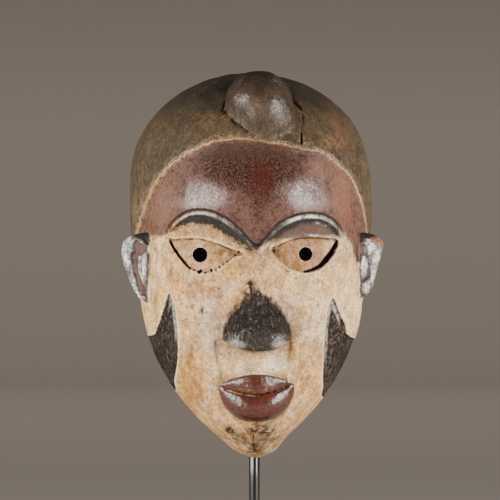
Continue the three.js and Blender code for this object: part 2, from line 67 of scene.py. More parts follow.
MM = 0.001
CHIN_HEIGHT = 110.0
MASK_X = -2.0
ROD_Y_IN_MASK = -36.0
VIEW_TURN = math.radians(-3.0)
VIEW_DISTANCE = 2600.0
VIEW_HEIGHT = 154.0
VIEW_SIDE = -1.26
VIEW_WIDTH = 372.0
SENSOR_WIDTH = 36.0
FAR = 1e9
WAVES = 9
STROKE_STEPS = 4


def ramp(value: Array, start: float, end: float) -> Array:
    """A smooth step from 0 at start to 1 at end; start may be the larger."""
    t = np.clip((value - start) / (end - start), 0.0, 1.0)
    return t * t * (3.0 - 2.0 * t)


def hill(distance: Array, width: float) -> Array:
    """A bell of height 1 at zero, exp(-(distance / width)^2)."""
    return np.exp(-((distance / width) ** 2))


def to_side(a: Array, b: Array, start: Point, end: Point) -> tuple[Array, Array]:
    """The nearest place on a straight side, by projection.

    Args:
        a, b: Places on the drawing.
        start, end: The side's ends.

    Returns:
        Its share of the way from start to end, and the distance to it.
    """
    run, rise = end[0] - start[0], end[1] - start[1]
    share = np.clip(((a - start[0]) * run + (b - start[1]) * rise) / (run * run + rise * rise), 0.0, 1.0)
    return share, np.hypot(a - start[0] - share * run, b - start[1] - share * rise)


def polygon_distance(a: Array, b: Array, corners: Points) -> Array:
    """Distance to a closed outline, positive inside it.

    The distance is the least one to any side. A point is inside when a ray from it crosses the outline an
    odd number of times.

    Args:
        a, b: Places on the drawing.
        corners: The outline's corners in order.

    Returns:
        Signed distances in millimetres.
    """
    nearest = np.full(a.shape, FAR)
    inside = np.zeros(a.shape, bool)
    for (a0, b0), (a1, b1) in zip(corners, corners[1:] + corners[:1]):
        nearest = np.minimum(nearest, to_side(a, b, (a0, b0), (a1, b1))[1])
        if b1 != b0:
            inside ^= ((b0 > b) != (b1 > b)) & (a < a0 + (a1 - a0) * (b - b0) / (b1 - b0))
    return np.where(inside, nearest, -nearest)


def stroke_distance(a: Array, b: Array, points: Points, widths: Widths) -> Array:
    """How far inside a brush stroke of changing half-width a point lies.

    Args:
        a, b: Places on the drawing.
        points: The stroke's middle line.
        widths: Its half-width at each of those points.

    Returns:
        Half-width minus the distance to the middle line, in millimetres.
    """
    best = np.full(a.shape, -FAR)
    for start, end, w0, w1 in zip(points, points[1:], widths, widths[1:]):
        share, away = to_side(a, b, start, end)
        best = np.maximum(best, w0 + (w1 - w0) * share - away)
    return best


def smooth_outline(points: Points, steps: int = 6, closed: bool = True) -> Points:
    """A Catmull-Rom curve through points, cut into short straight pieces.

    Args:
        points: The points that it passes through.
        steps: The pieces between two of them.
        closed: Whether the last point joins the first.

    Returns:
        The pieces' ends.
    """
    p = np.array(points, float)
    if closed:
        before, after, far = np.roll(p, 1, 0), np.roll(p, -1, 0), np.roll(p, -2, 0)
    else:
        before, after = np.vstack([p[:1], p[:-2]]), p[1:]
        far = np.vstack([p[2:], p[-1:]])
        p = p[:-1]
    t = np.linspace(0.0, 1.0, steps, endpoint=False)[:, None, None]
    curve = 0.5 * (
        2 * p + (after - before) * t + (2 * before - 5 * p + 4 * after - far) * t**2
        + (3 * p - before - 3 * after + far) * t**3
    )
    out = curve.transpose(1, 0, 2).reshape(-1, 2)
    return tuple(map(tuple, out if closed else np.vstack([out, after[-1:]])))


def curve_height(points: Points, a: Array) -> Array:
    """The height b of a smooth open curve over a; the points run from left to right."""
    fine = np.array(smooth_outline(points, 8, closed=False))
    return np.interp(a, fine[:, 0], fine[:, 1])


def curve_slope(points: Points, a: Array) -> Array:
    """The slope of a smooth open curve over a: its rise over the millimetre around each place."""
    return curve_height(points, a + 0.5) - curve_height(points, a - 0.5)


def wander(x: Array, y: Array, z: Array, size: float, seed: int) -> Array:
    """Gentle unevenness: a sum of plane waves of mixed directions, lengths and phases.

    Args:
        x, y, z: Places in the mask's frame.
        size: The waves' usual length.
        seed: The seed of the draws.

    Returns:
        Numbers between about -1 and 1.
    """
    rng = np.random.default_rng(seed)
    directions = rng.normal(size=(WAVES, 3))
    directions /= np.linalg.norm(directions, axis=1)[:, None]
    lengths = size * rng.uniform(0.6, 1.7, WAVES)
    phases = rng.uniform(0, 2 * math.pi, WAVES)
    total = np.zeros(np.shape(x))
    for (dx, dy, dz), length, phase in zip(directions, lengths, phases):
        total += np.sin(2 * math.pi * (x * dx + y * dy + z * dz) / length + phase)
    return total / (WAVES / 2)


def linear(red: int, green: int, blue: int) -> Colour:
    """A screen colour as the linear colour that materials take, by the sRGB curve.

    Args:
        red: Its red from 0 to 255.
        green: Its green.
        blue: Its blue.

    Returns:
        The three parts from 0 to 1.
    """
    c = np.array([red, green, blue]) / 255.0
    c = np.where(c <= 0.04045, c / 12.92, ((c + 0.055) / 1.055) ** 2.4)
    return tuple(float(v) for v in c)


class Slot(Enum):
    """The material slots."""

    WOOD = "painted_wood"
    STEEL = "black_steel"


@dataclass
class Sheet:
    """A grid of points with values on them, ready to become a mesh."""

    points: Array
    values: dict[str, Array] = field(default_factory=dict)


def grid_faces(rows: int, columns: int, first: int = 0, wrap: bool = False) -> Array:
    """The quads of a grid of points, anticlockwise when columns run right and rows run up.

    Args:
        rows: Rows of points.
        columns: Points in a row.
        first: The number of the first point.
        wrap: Whether the last column joins the first.

    Returns:
        Four point numbers for each quad.
    """
    places = np.arange(columns if wrap else columns - 1)
    row, column = np.meshgrid(np.arange(rows - 1), places, indexing="ij")
    following = (column + 1) % columns
    quads = np.stack(
        [row * columns + column, row * columns + following, (row + 1) * columns + following,
         (row + 1) * columns + column], -1)
    return quads.reshape(-1, 4) + first


def mesh_object(name: str, points: Array, faces: list[Array],
                values: dict[str, Array] | None = None) -> bpy.types.Object:
    """Makes a smooth-shaded mesh object from points in metres, face arrays and values on the points.

    Args:
        name: The object's name.
        points: N by 3 positions in the row frame, in metres.
        faces: Arrays of faces, each with its own number of corners.
        values: Named numbers on the points, kept as float attributes.

    Returns:
        The new object, linked to the scene.
    """
    mesh = bpy.data.meshes.new(name)
    corners = np.concatenate([block.reshape(-1) for block in faces]).astype(np.int32)
    sizes = np.concatenate([np.full(len(block), block.shape[1]) for block in faces]).astype(np.int32)
    mesh.vertices.add(len(points))
    mesh.vertices.foreach_set("co", np.ascontiguousarray(points, np.float32).reshape(-1))
    mesh.loops.add(len(corners))
    mesh.loops.foreach_set("vertex_index", corners)
    mesh.polygons.add(len(sizes))
    mesh.polygons.foreach_set("loop_start", np.concatenate([[0], np.cumsum(sizes)[:-1]]).astype(np.int32))
    mesh.polygons.foreach_set("loop_total", sizes)
    mesh.update(calc_edges=True)
    mesh.validate()
    mesh.shade_smooth()
    for key, numbers in (values or {}).items():
        layer = mesh.attributes.new(key, "FLOAT", "POINT")
        layer.data.foreach_set("value", np.ascontiguousarray(numbers, np.float32).reshape(-1))
    made = bpy.data.objects.new(name, mesh)
    bpy.context.scene.collection.objects.link(made)
    return made


def apply_modifiers(thing: bpy.types.Object) -> None:
    """Puts an object's modifiers into its mesh and removes them.

    Args:
        thing: The object.
    """
    graph = bpy.context.evaluated_depsgraph_get()
    shown = thing.evaluated_get(graph)
    finished = bpy.data.meshes.new_from_object(shown, preserve_all_data_layers=True, depsgraph=graph)
    thing.modifiers.clear()
    old, thing.data = thing.data, finished
    bpy.data.meshes.remove(old)


def place(piece: bpy.types.Object, slot: Slot, *nodes: str) -> None:
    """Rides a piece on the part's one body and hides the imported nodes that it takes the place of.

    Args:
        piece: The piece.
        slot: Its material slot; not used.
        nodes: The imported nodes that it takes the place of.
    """
    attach(piece, "root")
    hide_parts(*nodes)
    LOG.info("%s: %d faces", piece.name, len(piece.data.polygons))


def to_row_frame(points: Array) -> Array:
    """Points from the mask's own frame in millimetres to the row frame in metres."""
    return (points + np.array([MASK_X, -ROD_Y_IN_MASK, CHIN_HEIGHT])) * MM


def on_drawing(x: Array, y: Array, z: Array) -> tuple[Array, Array]:
    """Where a point of the mask appears on the drawing.

    The point is turned by the view's angle about the rod and drawn in perspective from the view's distance.

    Args:
        x, y, z: Places in the mask's frame.

    Returns:
        The drawing coordinates a and b.
    """
    back = y - ROD_Y_IN_MASK
    across = x * math.cos(VIEW_TURN) + back * math.sin(VIEW_TURN)
    away = back * math.cos(VIEW_TURN) - x * math.sin(VIEW_TURN)
    scale = 1.0 / (1.0 + away / VIEW_DISTANCE)
    return VIEW_SIDE + (across - VIEW_SIDE) * scale, VIEW_HEIGHT + (z - VIEW_HEIGHT) * scale


@dataclass
class PlainHead:
    """The head before carving: an elliptical cap over a tapering jaw, with superelliptic level sections."""

    height: float = 287.0
    half_width: float = 90.0
    widest_z: float = 206.0
    jaw_power: float = 3.2
    jaw_rounding: float = 0.86
    tip_half_width: float = 6.5
    tip_rise: float = 6.0
    tip_fade: float = 9.0
    chin_shift: float = 2.2
    chin_shift_top: float = 21.0
    cap_bulge: float = 0.02
    depth: float = 104.0
    jaw_depth_loss: float = 0.2
    profile_power: float = 2.4
    section_power: float = 2.25
    rim_lean: float = 42.0
    front_crowding: float = 0.42
    mouth_crowding: float = 0.14

    def half_width_at(self, z: Array) -> Array:
        """The half-width: an ellipse above the widest level, and a power curve to a blunt tip below it.

        Args:
            z: Heights above the chin.

        Returns:
            Half-widths.
        """
        above = np.sqrt(np.clip(1 - ((z - self.widest_z) / (self.height - self.widest_z)) ** 2, 0, 1))
        fall = np.clip((self.widest_z - z) / self.widest_z, 0, 1)
        below = np.clip(1 - fall**self.jaw_power, 0, 1) ** self.jaw_rounding
        tip = self.tip_half_width * np.sqrt(np.clip(z, 0, None) / self.tip_rise) * hill(z, self.tip_fade)
        return np.where(z > self.widest_z, self.half_width * above, self.half_width * below + tip)

    def uneven_x(self, x: Array, z: Array) -> Array:
        """The carver's unevenness: the crown bulges on the left, and the chin's tip leans to the left."""
        bulge = np.where(x > 0, 1 + self.cap_bulge * ramp(z, 225, 260), 1.0)
        return x * bulge + self.chin_shift * ramp(z, self.chin_shift_top, 0)

    def depth_at(self, z: Array) -> Array:
        """The depth from back edge to front at a height, a superellipse that is shallower at the jaw.

        Args:
            z: Heights above the chin.

        Returns:
            Depths.
        """
        above = z > self.widest_z
        span = np.where(above, self.height - self.widest_z, self.widest_z)
        reach = np.clip(np.abs(z - self.widest_z) / span, 0, 1)
        full = self.depth * np.where(above, 1.0, 1 - self.jaw_depth_loss * reach)
        return full * (1 - reach**self.profile_power) ** (1 / self.profile_power)

    def rim_y(self, z: Array) -> Array:
        """The back edge's y, which leans forwards towards the chin."""
        return -self.rim_lean * (1 - z / self.height)

    def surface(self, u: Array, v: Array) -> tuple[Array, Array, Array]:
        """The point at (u, v), each from -1 to 1.

        The square is pulled to a disc, the disc is laid over half a ball, and the ball's latitude gives the
        height while its bearing gives the place round a level section.

        Args:
            u: Places across.
            v: Places upwards.

        Returns:
            The coordinates x, y and z.
        """
        a = u * np.sqrt(1 - v * v / 2)
        b = v * np.sqrt(1 - u * u / 2)
        radius = np.clip(np.hypot(a, b), 1e-9, 1.0)
        spread = np.sin(radius * math.pi / 2) / radius
        z = self.height / 2 * (1 + b * spread)
        turn = np.arctan2(a * spread, np.clip(np.cos(radius * math.pi / 2), 0, 1))
        s, c = np.sin(turn), np.clip(np.cos(turn), 0, 1)
        k = (np.abs(s) ** self.section_power + c**self.section_power) ** (-1 / self.section_power)
        return self.uneven_x(self.half_width_at(z) * k * s, z), self.rim_y(z) - self.depth_at(z) * k * c, z

    def grid_line(self, share: Array, shift: float) -> Array:
        """Places from -1 to 1 that crowd on the front, and a little towards the mouth."""
        t = 2 * share - 1
        return t * (1 - self.front_crowding + self.front_crowding * t * t) - shift * (1 - t * t)

    def grid(self, cells: int) -> tuple[Array, Array]:
        """The (u, v) of a square grid of cells, rows going up."""
        share = np.linspace(0, 1, cells + 1)
        return np.meshgrid(self.grid_line(share, 0.0), self.grid_line(share, self.mouth_crowding))


@dataclass(frozen=True)
class Swelling:
    """A soft round rise or dip: one in the face's middle, or one on each side of it."""

    rise: float
    off: float
    up: float
    width: float
    height: float
    flat_between: bool = False

    def at(self, a: Array, b: Array, middle: float) -> Array:
        """Its height, a bell over the distance from its centre in shares of its size.

        Args:
            a, b: Places on the drawing.
            middle: The a of the face's middle.

        Returns:
            Heights, flat from one side's centre to the other's where it is so.
        """
        across = np.abs(a - middle) - self.off
        if self.flat_between:
            across = np.maximum(across, 0)
        return self.rise * hill(np.hypot(across / self.width, (b - self.up) / self.height), 1.0)


BROW_ARCH = (
    (-35, 184), (-25, 181), (-15, 175), (-7, 168), (0, 160.5), (4.5, 157.5), (9.5, 162.5), (18.5, 172.7),
    (29.2, 178.6), (40.4, 181.3), (53, 180.6), (62.7, 175.6))


@dataclass
class Face:
    """The carving of the face, laid out on the drawing, whose left and right its names use."""

    middle: float = 4.0
    hairline: Points = (
        (-92, 150), (-83.4, 177), (-76.6, 197.5), (-60, 218.3), (-36.6, 232), (-21, 237), (-3.5, 237.6),
        (13, 235), (32, 230.5), (52.8, 226), (66.4, 217), (77, 203), (85.8, 178), (94, 150))
    brow_top: Points = (
        (-64, 165), (-61, 173), (-55, 179), (-46.3, 183.6), *BROW_ARCH, (68.7, 167.4))
    brow_bottom: Points = (
        (-64, 164.4), (-58, 168.5), (-50.4, 172), (-40.7, 172.9), (-28.3, 170), (-17.6, 163.3),
        (-9.1, 157.7), (-1, 153.8), (4, 153), (9, 157.2), (18, 161), (32, 163), (53, 163.4), (69, 163.6))
    brow_ends: tuple[float, float] = (-63.5, 68.7)
    red_line: Points = (
        (-96, 163), (-80, 163.5), (-66, 164.5), (-61.5, 172), (-55, 178.8), (-46, 183.4), *BROW_ARCH,
        (68, 168.5), (72, 162), (76, 155.5), (80, 146), (96, 137))
    dark_centre: Points = (
        (-40, 228), (-41, 217), (-36, 209), (-26, 201.6), (-14, 197.2), (-4.2, 190.5), (1, 182),
        (4.7, 171), (9.2, 182), (18, 190.5), (24.8, 200), (33.7, 207.6), (39.7, 217), (38, 227.5),
        (21, 235), (0, 237), (-23.6, 234))
    left_eye: Points = (
        (-61.5, 162), (-56.7, 161.9), (-46.6, 162.4), (-38.5, 162.2), (-25.8, 158.8), (-12.4, 153.4),
        (-5.7, 150.7), (-12.4, 148.8), (-19.1, 143.8), (-29.5, 138.4), (-36.6, 137.2), (-45.6, 140.2),
        (-55.6, 152.4))
    right_eye: Points = (
        (15, 154.5), (18.8, 156.8), (31.5, 161.9), (43, 163.2), (57.5, 162.4), (64.3, 161), (63.6, 155),
        (59.9, 148.6), (51, 139.8), (39.7, 137.2), (29.7, 139.9), (18.5, 148.2))
    left_slit: Points = (
        (-60.6, 161), (-58, 156), (-53.5, 149.2), (-49, 143.6), (-45.3, 139.9))
    left_slit_widths: Widths = (0.3, 0.75, 0.9, 0.75, 0.4)
    right_slit: Points = (
        (39, 137.6), (45, 139.2), (51, 142.2), (55.4, 146.6), (59, 151.6), (62, 156.4), (63.8, 160))
    right_slit_widths: Widths = (0.4, 0.8, 1.3, 1.85, 1.7, 1.3, 0.6)
    lid_pits: Rows = (
        (-38.8, 137.6, 1.1), (-37.2, 138.3, 0.9), (-29.5, 138.7, 0.9), (-23.4, 141, 0.6),
        (-42.6, 138.9, 0.5), (-34.2, 137.0, 0.45), (-31.8, 138.4, 0.4), (-26.4, 139.2, 0.5),
        (-20.8, 143.2, 0.45), (-44.6, 140.6, 0.5), (-17.8, 145.6, 0.35), (-9.4, 152.6, 0.6),
        (-12.0, 150.4, 0.4), (16.6, 153.4, 0.7), (20.4, 148.6, 0.35), (-58.6, 165.2, 0.4))
    left_patch: Points = (
        (-61.8, 122), (-58.3, 113), (-56, 98), (-55.4, 86), (-55.2, 76), (-55.8, 68), (-57.3, 58),
        (-58, 47), (-80, 40), (-112, 60), (-112, 86), (-76, 90), (-71.5, 94), (-68, 103), (-65, 112))
    right_patch: Points = (
        (60.9, 118.5), (65.7, 106.6), (70.2, 97.7), (74.5, 88.6), (112, 80), (112, 55), (75, 40),
        (53.5, 43.5), (53, 52), (53.2, 63), (54, 74.5), (54.4, 86.3), (55.1, 98), (57, 109))
    socket_sink: float = 3.8
    eye_sink: float = 2.4
    ledge: float = 2.4
    patch_sink: float = 2.2
    nose_top: float = 154.0
    pear_top: float = 124.5
    nose_wide: float = 87.0
    nose_base: float = 77.4
    nose_half_width: float = 26.3
    nose_raise: float = 14.5
    bridge_half_width: float = 9.5
    bridge_raise: float = 8.0
    mouth_half_width: float = 28.3
    mouth_corner: float = 53.6
    mouth_slit: float = 46.4
    mouth_top: float = 64.1
    lip_raise: float = 7.4
    lip_margin: float = 2.4
    panel_middle: float = 1.0
    panel_half_width: float = 29.0
    panel_sink: float = 1.6
    fold_raise: float = 1.3
    slit_sink: float = 4.5
    side_hairline: tuple[float, float, float] = (237.0, -106.0, 1.28)
    swellings: tuple[Swelling, ...] = (
        Swelling(4.6, 22.0, 197.0, 23.0, 18.0, True), Swelling(-1.6, 0.0, 174.0, 9.0, 15.0),
        Swelling(3.5, 0.0, 12.0, 16.0, 12.0), Swelling(2.6, 44.0, 114.0, 17.0, 20.0))

    def pear_width(self, b: Array) -> Array:
        """The nose's half-width: 1 - t^2.1 to the power 0.9 above its widest level, and an arc below it.

        Args:
            b: Drawing coordinates upwards.

        Returns:
            Half-widths.
        """
        up = np.clip((b - self.nose_wide) / (self.pear_top - self.nose_wide), 0, 1)
        down = np.clip((self.nose_wide - b) / (self.nose_wide - self.nose_base), 0, 1)
        return self.nose_half_width * np.where(b > self.nose_wide, (1 - up**2.1) ** 0.9, (1 - down) ** 0.5)

    def nose(self, a: Array, b: Array) -> Array:
        """The nose: a pear-shaped dome that rolls under at its base, two low swellings and a narrow bridge.

        Args:
            a, b: Places on the drawing.

        Returns:
            Heights.
        """
        p = a - self.middle
        up = np.clip((b - self.nose_wide) / (self.pear_top - self.nose_wide), 0, 1)
        reach = np.clip(np.abs(p) / self.nose_half_width, 0, 1)
        roll_height = np.maximum((self.nose_wide - self.nose_base) * (1 - reach**2), 0.8)
        down = np.clip((self.nose_wide - b) / roll_height, 0, 1)
        along = np.where(b > self.nose_wide, 1 - up**1.5, (1 - down**10) ** 0.5)
        across = np.clip(np.abs(p) / np.maximum(self.pear_width(b), 1e-3), 0, 1)
        share = np.where(b > self.nose_wide, across, reach)
        dome = self.nose_raise * along * (1 - share**3) ** 0.5
        swelling = 1.2 * hill(np.hypot((np.abs(p) - 15) / 8, (b - 86) / 6), 1.0) * (1 - share**4)
        fall = np.clip((self.nose_top - b) / (self.nose_top - self.pear_top), 0, 1)
        bridge_width = self.bridge_half_width * (0.75 + 0.35 * fall)
        fade = ramp(b, self.nose_wide - 6, self.nose_wide + 12)
        bridge = self.bridge_raise * ramp(fall, 0.0, 1.15) * hill(p, bridge_width) * fade
        return (dome**3 + bridge**3) ** (1 / 3) + swelling

    def nose_inside(self, a: Array, b: Array) -> Array:
        """How far inside the nose's dark lower part a point lies.

        Args:
            a, b: Places on the drawing.

        Returns:
            Distances in millimetres.
        """
        p = a - self.middle
        base = self.nose_base + (self.nose_wide - self.nose_base) * (p / self.nose_half_width) ** 2
        side = (self.pear_width(b) - np.abs(p)) * 0.8
        return np.minimum(np.where(b > self.nose_wide, side, (b - base) * 0.9), self.pear_top - b)

    def lip_lines(self, a: Array) -> tuple[Array, Array, Array, Array]:
        """The mouth's reach from its middle, its upper edge, its slit and its lower edge over a.

        Args:
            a: Drawing coordinates to the right.

        Returns:
            The four, each over a.
        """
        p = (a - self.middle + 0.4) / self.mouth_half_width
        reach = np.clip(np.abs(p), 0, 1)
        corner = self.mouth_corner + 0.3 * p
        top = corner + (self.mouth_top - self.mouth_corner) * (1 - reach**1.5)
        slit = corner - (self.mouth_corner - self.mouth_slit) * (1 - reach**1.5) + 0.9 * p
        bottom = corner - 26.8 * (1 - reach**2.5) ** 0.52
        return reach, top, slit, bottom

    def mouth(self, a: Array, b: Array) -> tuple[Array, Array, Array]:
        """Both lips, each a quarter of a superellipse from its edge to the slit.

        Args:
            a, b: Places on the drawing.

        Returns:
            The height, the distance inside the lips' outline, and the distance below the slit.
        """
        reach, top, slit, bottom = self.lip_lines(a)
        upper = b > slit
        span = np.maximum(np.where(upper, top - slit, slit - bottom), 0.4)
        q = np.clip(np.abs(b - slit) / span, 0, 1)
        upper_profile = np.clip(1 - q**4.5, 0, 1) ** 0.5
        under = np.clip((q - 0.68) / 0.32, 0, 1)
        lower_profile = (1.0 - 0.7 * np.clip(1 - q / 0.68, 0, 1) ** 2) * (1 - under**2.4) ** 0.5
        profile = np.where(upper, upper_profile, lower_profile)
        full = self.lip_raise * profile * (1 - reach ** np.where(upper, 1.6, 2.8))
        off = np.abs(a - self.middle + 0.4)
        within = (1 - reach**8) * (off < self.mouth_half_width)
        gap = hill(b - slit, 0.7) * within
        roll = np.where(upper, (1 - q) ** 1.3, 0.5 * hill(b - slit, 1.4)) * (1 - reach**4)
        inside = np.minimum(np.minimum(top - b, b - bottom), (1 - reach) * self.mouth_half_width * 1.5 - 0.5)
        inside = np.where(reach >= 1, -np.abs(off - self.mouth_half_width) - 0.5, inside)
        height = np.where(inside > -1, full - (2.3 + 0.9 * upper) * roll - 0.7 * gap, 0)
        below = np.where(inside > 0, slit - b, -9.0)
        unpainted = self.lip_margin * hill(reach, 0.5)
        return height, np.minimum(inside, top - unpainted - b), below

    def muzzle(self, a: Array, b: Array) -> Array:
        """The swelling around the mouth, the sunk panel above it and the folds down its sides.

        Args:
            a, b: Places on the drawing.

        Returns:
            Heights.
        """
        p = a - self.middle
        swell = 6.0 * hill(np.hypot(p / 34, (b - 35) / 23), 0.9)
        off = np.abs(a - self.panel_middle)
        reach = np.clip(np.abs(p) / self.nose_half_width, 0, 1)
        under_nose = self.nose_base + (self.nose_wide - self.nose_base) * reach**2
        half_width = self.panel_half_width - 3.5 * ramp(b, 84, 58)
        panel = ramp(off, half_width + 0.8, half_width - 1.6) * ramp(b, 50, 60)
        panel = panel * ramp(b, under_nose + 0.4, under_nose - 1.2)
        fold = hill(off - half_width - 3.2, 3.4) * ramp(b, 44, 60) * ramp(b, 96, 82)
        beside_nose = hill(np.hypot((np.abs(p) - 31) / 8, (b - 106) / 18), 1.0)
        return swell - self.panel_sink * panel + self.fold_raise * fold - 1.4 * beside_nose

    def brow(self, a: Array, b: Array) -> tuple[Array, Array]:
        """Both brows: a ridge along the upper edge of a band that slopes back into the socket.

        Args:
            a, b: Places on the drawing.

        Returns:
            The height, and the distance inside the band from below and from its ends.
        """
        top, bottom = curve_height(self.brow_top, a), curve_height(self.brow_bottom, a)
        lean = 1 / np.hypot(1, curve_slope(self.brow_top, a))
        from_top, from_bottom = (top - b) * lean, (b - bottom) * lean
        from_end = np.minimum(a - self.brow_ends[0], self.brow_ends[1] - a)
        share = np.clip(from_top / np.maximum(from_top + from_bottom, 0.5), 0, 1)
        roll = 2.2 * np.sqrt(np.clip(1 - ((from_top - 2.6) / 3.1) ** 2, 0, 1))
        band = 1.6 * ramp(from_top, -0.6, 2.6) * (1 - ramp(share, 0.45, 1.0))
        height = (band + roll) * ramp(from_end, -1, 6)
        return height, np.minimum(np.minimum(from_bottom, from_top + 3), from_end)

    def socket(self, a: Array, b: Array) -> Array:
        """The hollow under each brow, deepest at the upper lid and gone at the cheek.

        Args:
            a, b: Places on the drawing.

        Returns:
            Heights, none above 0.
        """
        left = hill(np.hypot((a + 36) / 34, (b - 156) / 20), 0.85)
        right = hill(np.hypot((a - 41) / 32, (b - 156) / 20), 0.85)
        crest = curve_height(self.brow_top, a) - 5.5
        sunk = -self.socket_sink * np.maximum(left, right) ** 0.5
        return sunk * ramp(b, crest, crest - 12) * ramp(b, 122, 146)

    def eyes(self, a: Array, b: Array) -> tuple[Array, Array, Array]:
        """The sunk leaves of the eyes with the slits and pits at their lids.

        Args:
            a, b: Places on the drawing.

        Returns:
            The height, the distance inside a leaf, and the depth of slits and pits from 0 to 1.
        """
        leaves = (polygon_distance(a, b, smooth_outline(leaf)) for leaf in (self.left_eye, self.right_eye))
        inside = np.maximum(*leaves)
        slit = np.zeros(a.shape)
        strokes = ((self.left_slit, self.left_slit_widths), (self.right_slit, self.right_slit_widths))
        for line, widths in strokes:
            curve = smooth_outline(line, STROKE_STEPS, False)
            reach = stroke_distance(a, b, curve, spread(widths, STROKE_STEPS))
            slit = np.maximum(slit, ramp(reach, -0.5, 0.6))
        for pit_a, pit_b, radius in self.lid_pits:
            slit = np.maximum(slit, ramp(radius - np.hypot(a - pit_a, b - pit_b), -0.4, 0.5))
        lip = 0.8 * hill(inside + 1.2, 1.1)
        leaf = -self.eye_sink * ramp(inside, -0.3, 0.8) + 0.7 * ramp(inside, 1, 12)
        return leaf + lip - self.slit_sink * slit, inside, slit

    def patches(self, a: Array, b: Array) -> Array:
        """How far inside a cheek patch a point lies."""
        return np.maximum(polygon_distance(a, b, smooth_outline(self.left_patch, 3)),
                          polygon_distance(a, b, smooth_outline(self.right_patch, 3)))


def spread(widths: Widths, steps: int) -> Widths:
    """Widths at the points of a smooth open curve that has steps pieces between its given points."""
    places = np.linspace(0, len(widths) - 1, (len(widths) - 1) * steps + 1)
    return tuple(np.interp(places, np.arange(len(widths)), widths))


@dataclass
class Knot:
    """The topknot: an egg that stands off the cap's slope, cut in on the right and full on the left."""

    x: float = 2.8
    y: float = -87.6
    z: float = 260.3
    tilt: float = 48.0
    half_width: float = 25.2
    half_length: float = 31.0
    height: float = 20.0

    def direction(self) -> Array:
        """The way it stands off the cap."""
        t = math.radians(self.tilt)
        return np.array([0.0, -math.cos(t), math.sin(t)])

    def rise(self, x: Array, y: Array, z: Array) -> tuple[Array, Array]:
        """Height along the direction, and the share of the way from the knot's middle to its edge.

        The outline is a superellipse whose half-width shrinks towards its lower end, much more on one side.

        Args:
            x, y, z: Places in the mask's frame.

        Returns:
            The heights and the shares.
        """
        t = math.radians(self.tilt)
        up = ((y - self.y) * math.sin(t) + (z - self.z) * math.cos(t)) / self.half_length
        off = np.abs(-(y - self.y) * math.cos(t) + (z - self.z) * math.sin(t))
        right = x < self.x
        narrowed, widened = 1 - 0.5 * ramp(-up, 0.05, 1.1), 1 + 0.12 * ramp(-up, 0.0, 0.7)
        width = self.half_width * np.where(right, narrowed, widened)
        power = np.where(right, 2.0, 2.0 + 0.6 * ramp(-up, 0.0, 0.5))
        share = ((np.abs(x - self.x) / width) ** power + np.abs(up) ** power) ** (1 / power)
        share = np.where((y < -20) & (off < 40), share, 9.0)
        fade = 1 - np.where(right, 0.0, 0.35) * ramp(-up, 0.0, 0.9) * ramp(x - self.x, 2, 22)
        return self.height * fade * np.clip(1 - np.clip(share, 0, 1) ** 3, 0, 1) ** 0.5, share


@dataclass
class Cracks:
    """Drying cracks: thin strokes on the drawing, each a line of points with a half-width and a depth."""

    strokes: tuple[tuple[Points, float, float], ...] = (
        (((-19.5, 265), (-21.3, 260), (-21.7, 257)), 0.3, 1.2),
        (((-20.6, 257.6), (-18.7, 256)), 0.45, 1.2),
        (((-15, 251.7), (-13, 249.6), (-11.3, 247.8)), 0.55, 1.6),
        (((-11.3, 247.8), (-6, 244.4), (-2, 241.4)), 0.25, 0.8),
        (((28.9, 268.6), (30.7, 265.6)), 0.5, 1.6),
        (((31.2, 265), (33.7, 262.6), (36.7, 258.9)), 0.65, 2.0),
        (((37.6, 255), (38.2, 251), (37.4, 245), (37.1, 240)), 0.2, 0.8),
        (((37.2, 241), (37.1, 236), (36.8, 232.5)), 0.45, 1.6),
        (((30, 227.5), (36, 225.6), (42, 224.4)), 0.18, 0.5),
        (((26, 223), (30, 221.6), (33, 221.8)), 0.15, 0.4),
        (((-62, 212), (-57, 215.6)), 0.15, 0.4),
        (((-1.5, 129), (-0.6, 124), (0.4, 117)), 0.3, 1.0),
        (((1.2, 18), (0.7, 12), (1.8, 6), (1.6, 3)), 0.2, 0.6),
    )

    def depth(self, a: Array, b: Array) -> tuple[Array, Array]:
        """How deep the cracks go, and how dark their painted shade is, from 0 to 1.

        Args:
            a, b: Places on the drawing.

        Returns:
            The depths and the darknesses.
        """
        deep, dark = np.zeros(a.shape), np.zeros(a.shape)
        for points, width, depth in self.strokes:
            line = smooth_outline(points, STROKE_STEPS, False)
            reach = stroke_distance(a, b, line, (width,) * len(line))
            deep = np.maximum(deep, depth * ramp(reach, -0.6, 0.4))
            dark = np.maximum(dark, ramp(reach, -0.35, 0.3))
        return deep, dark


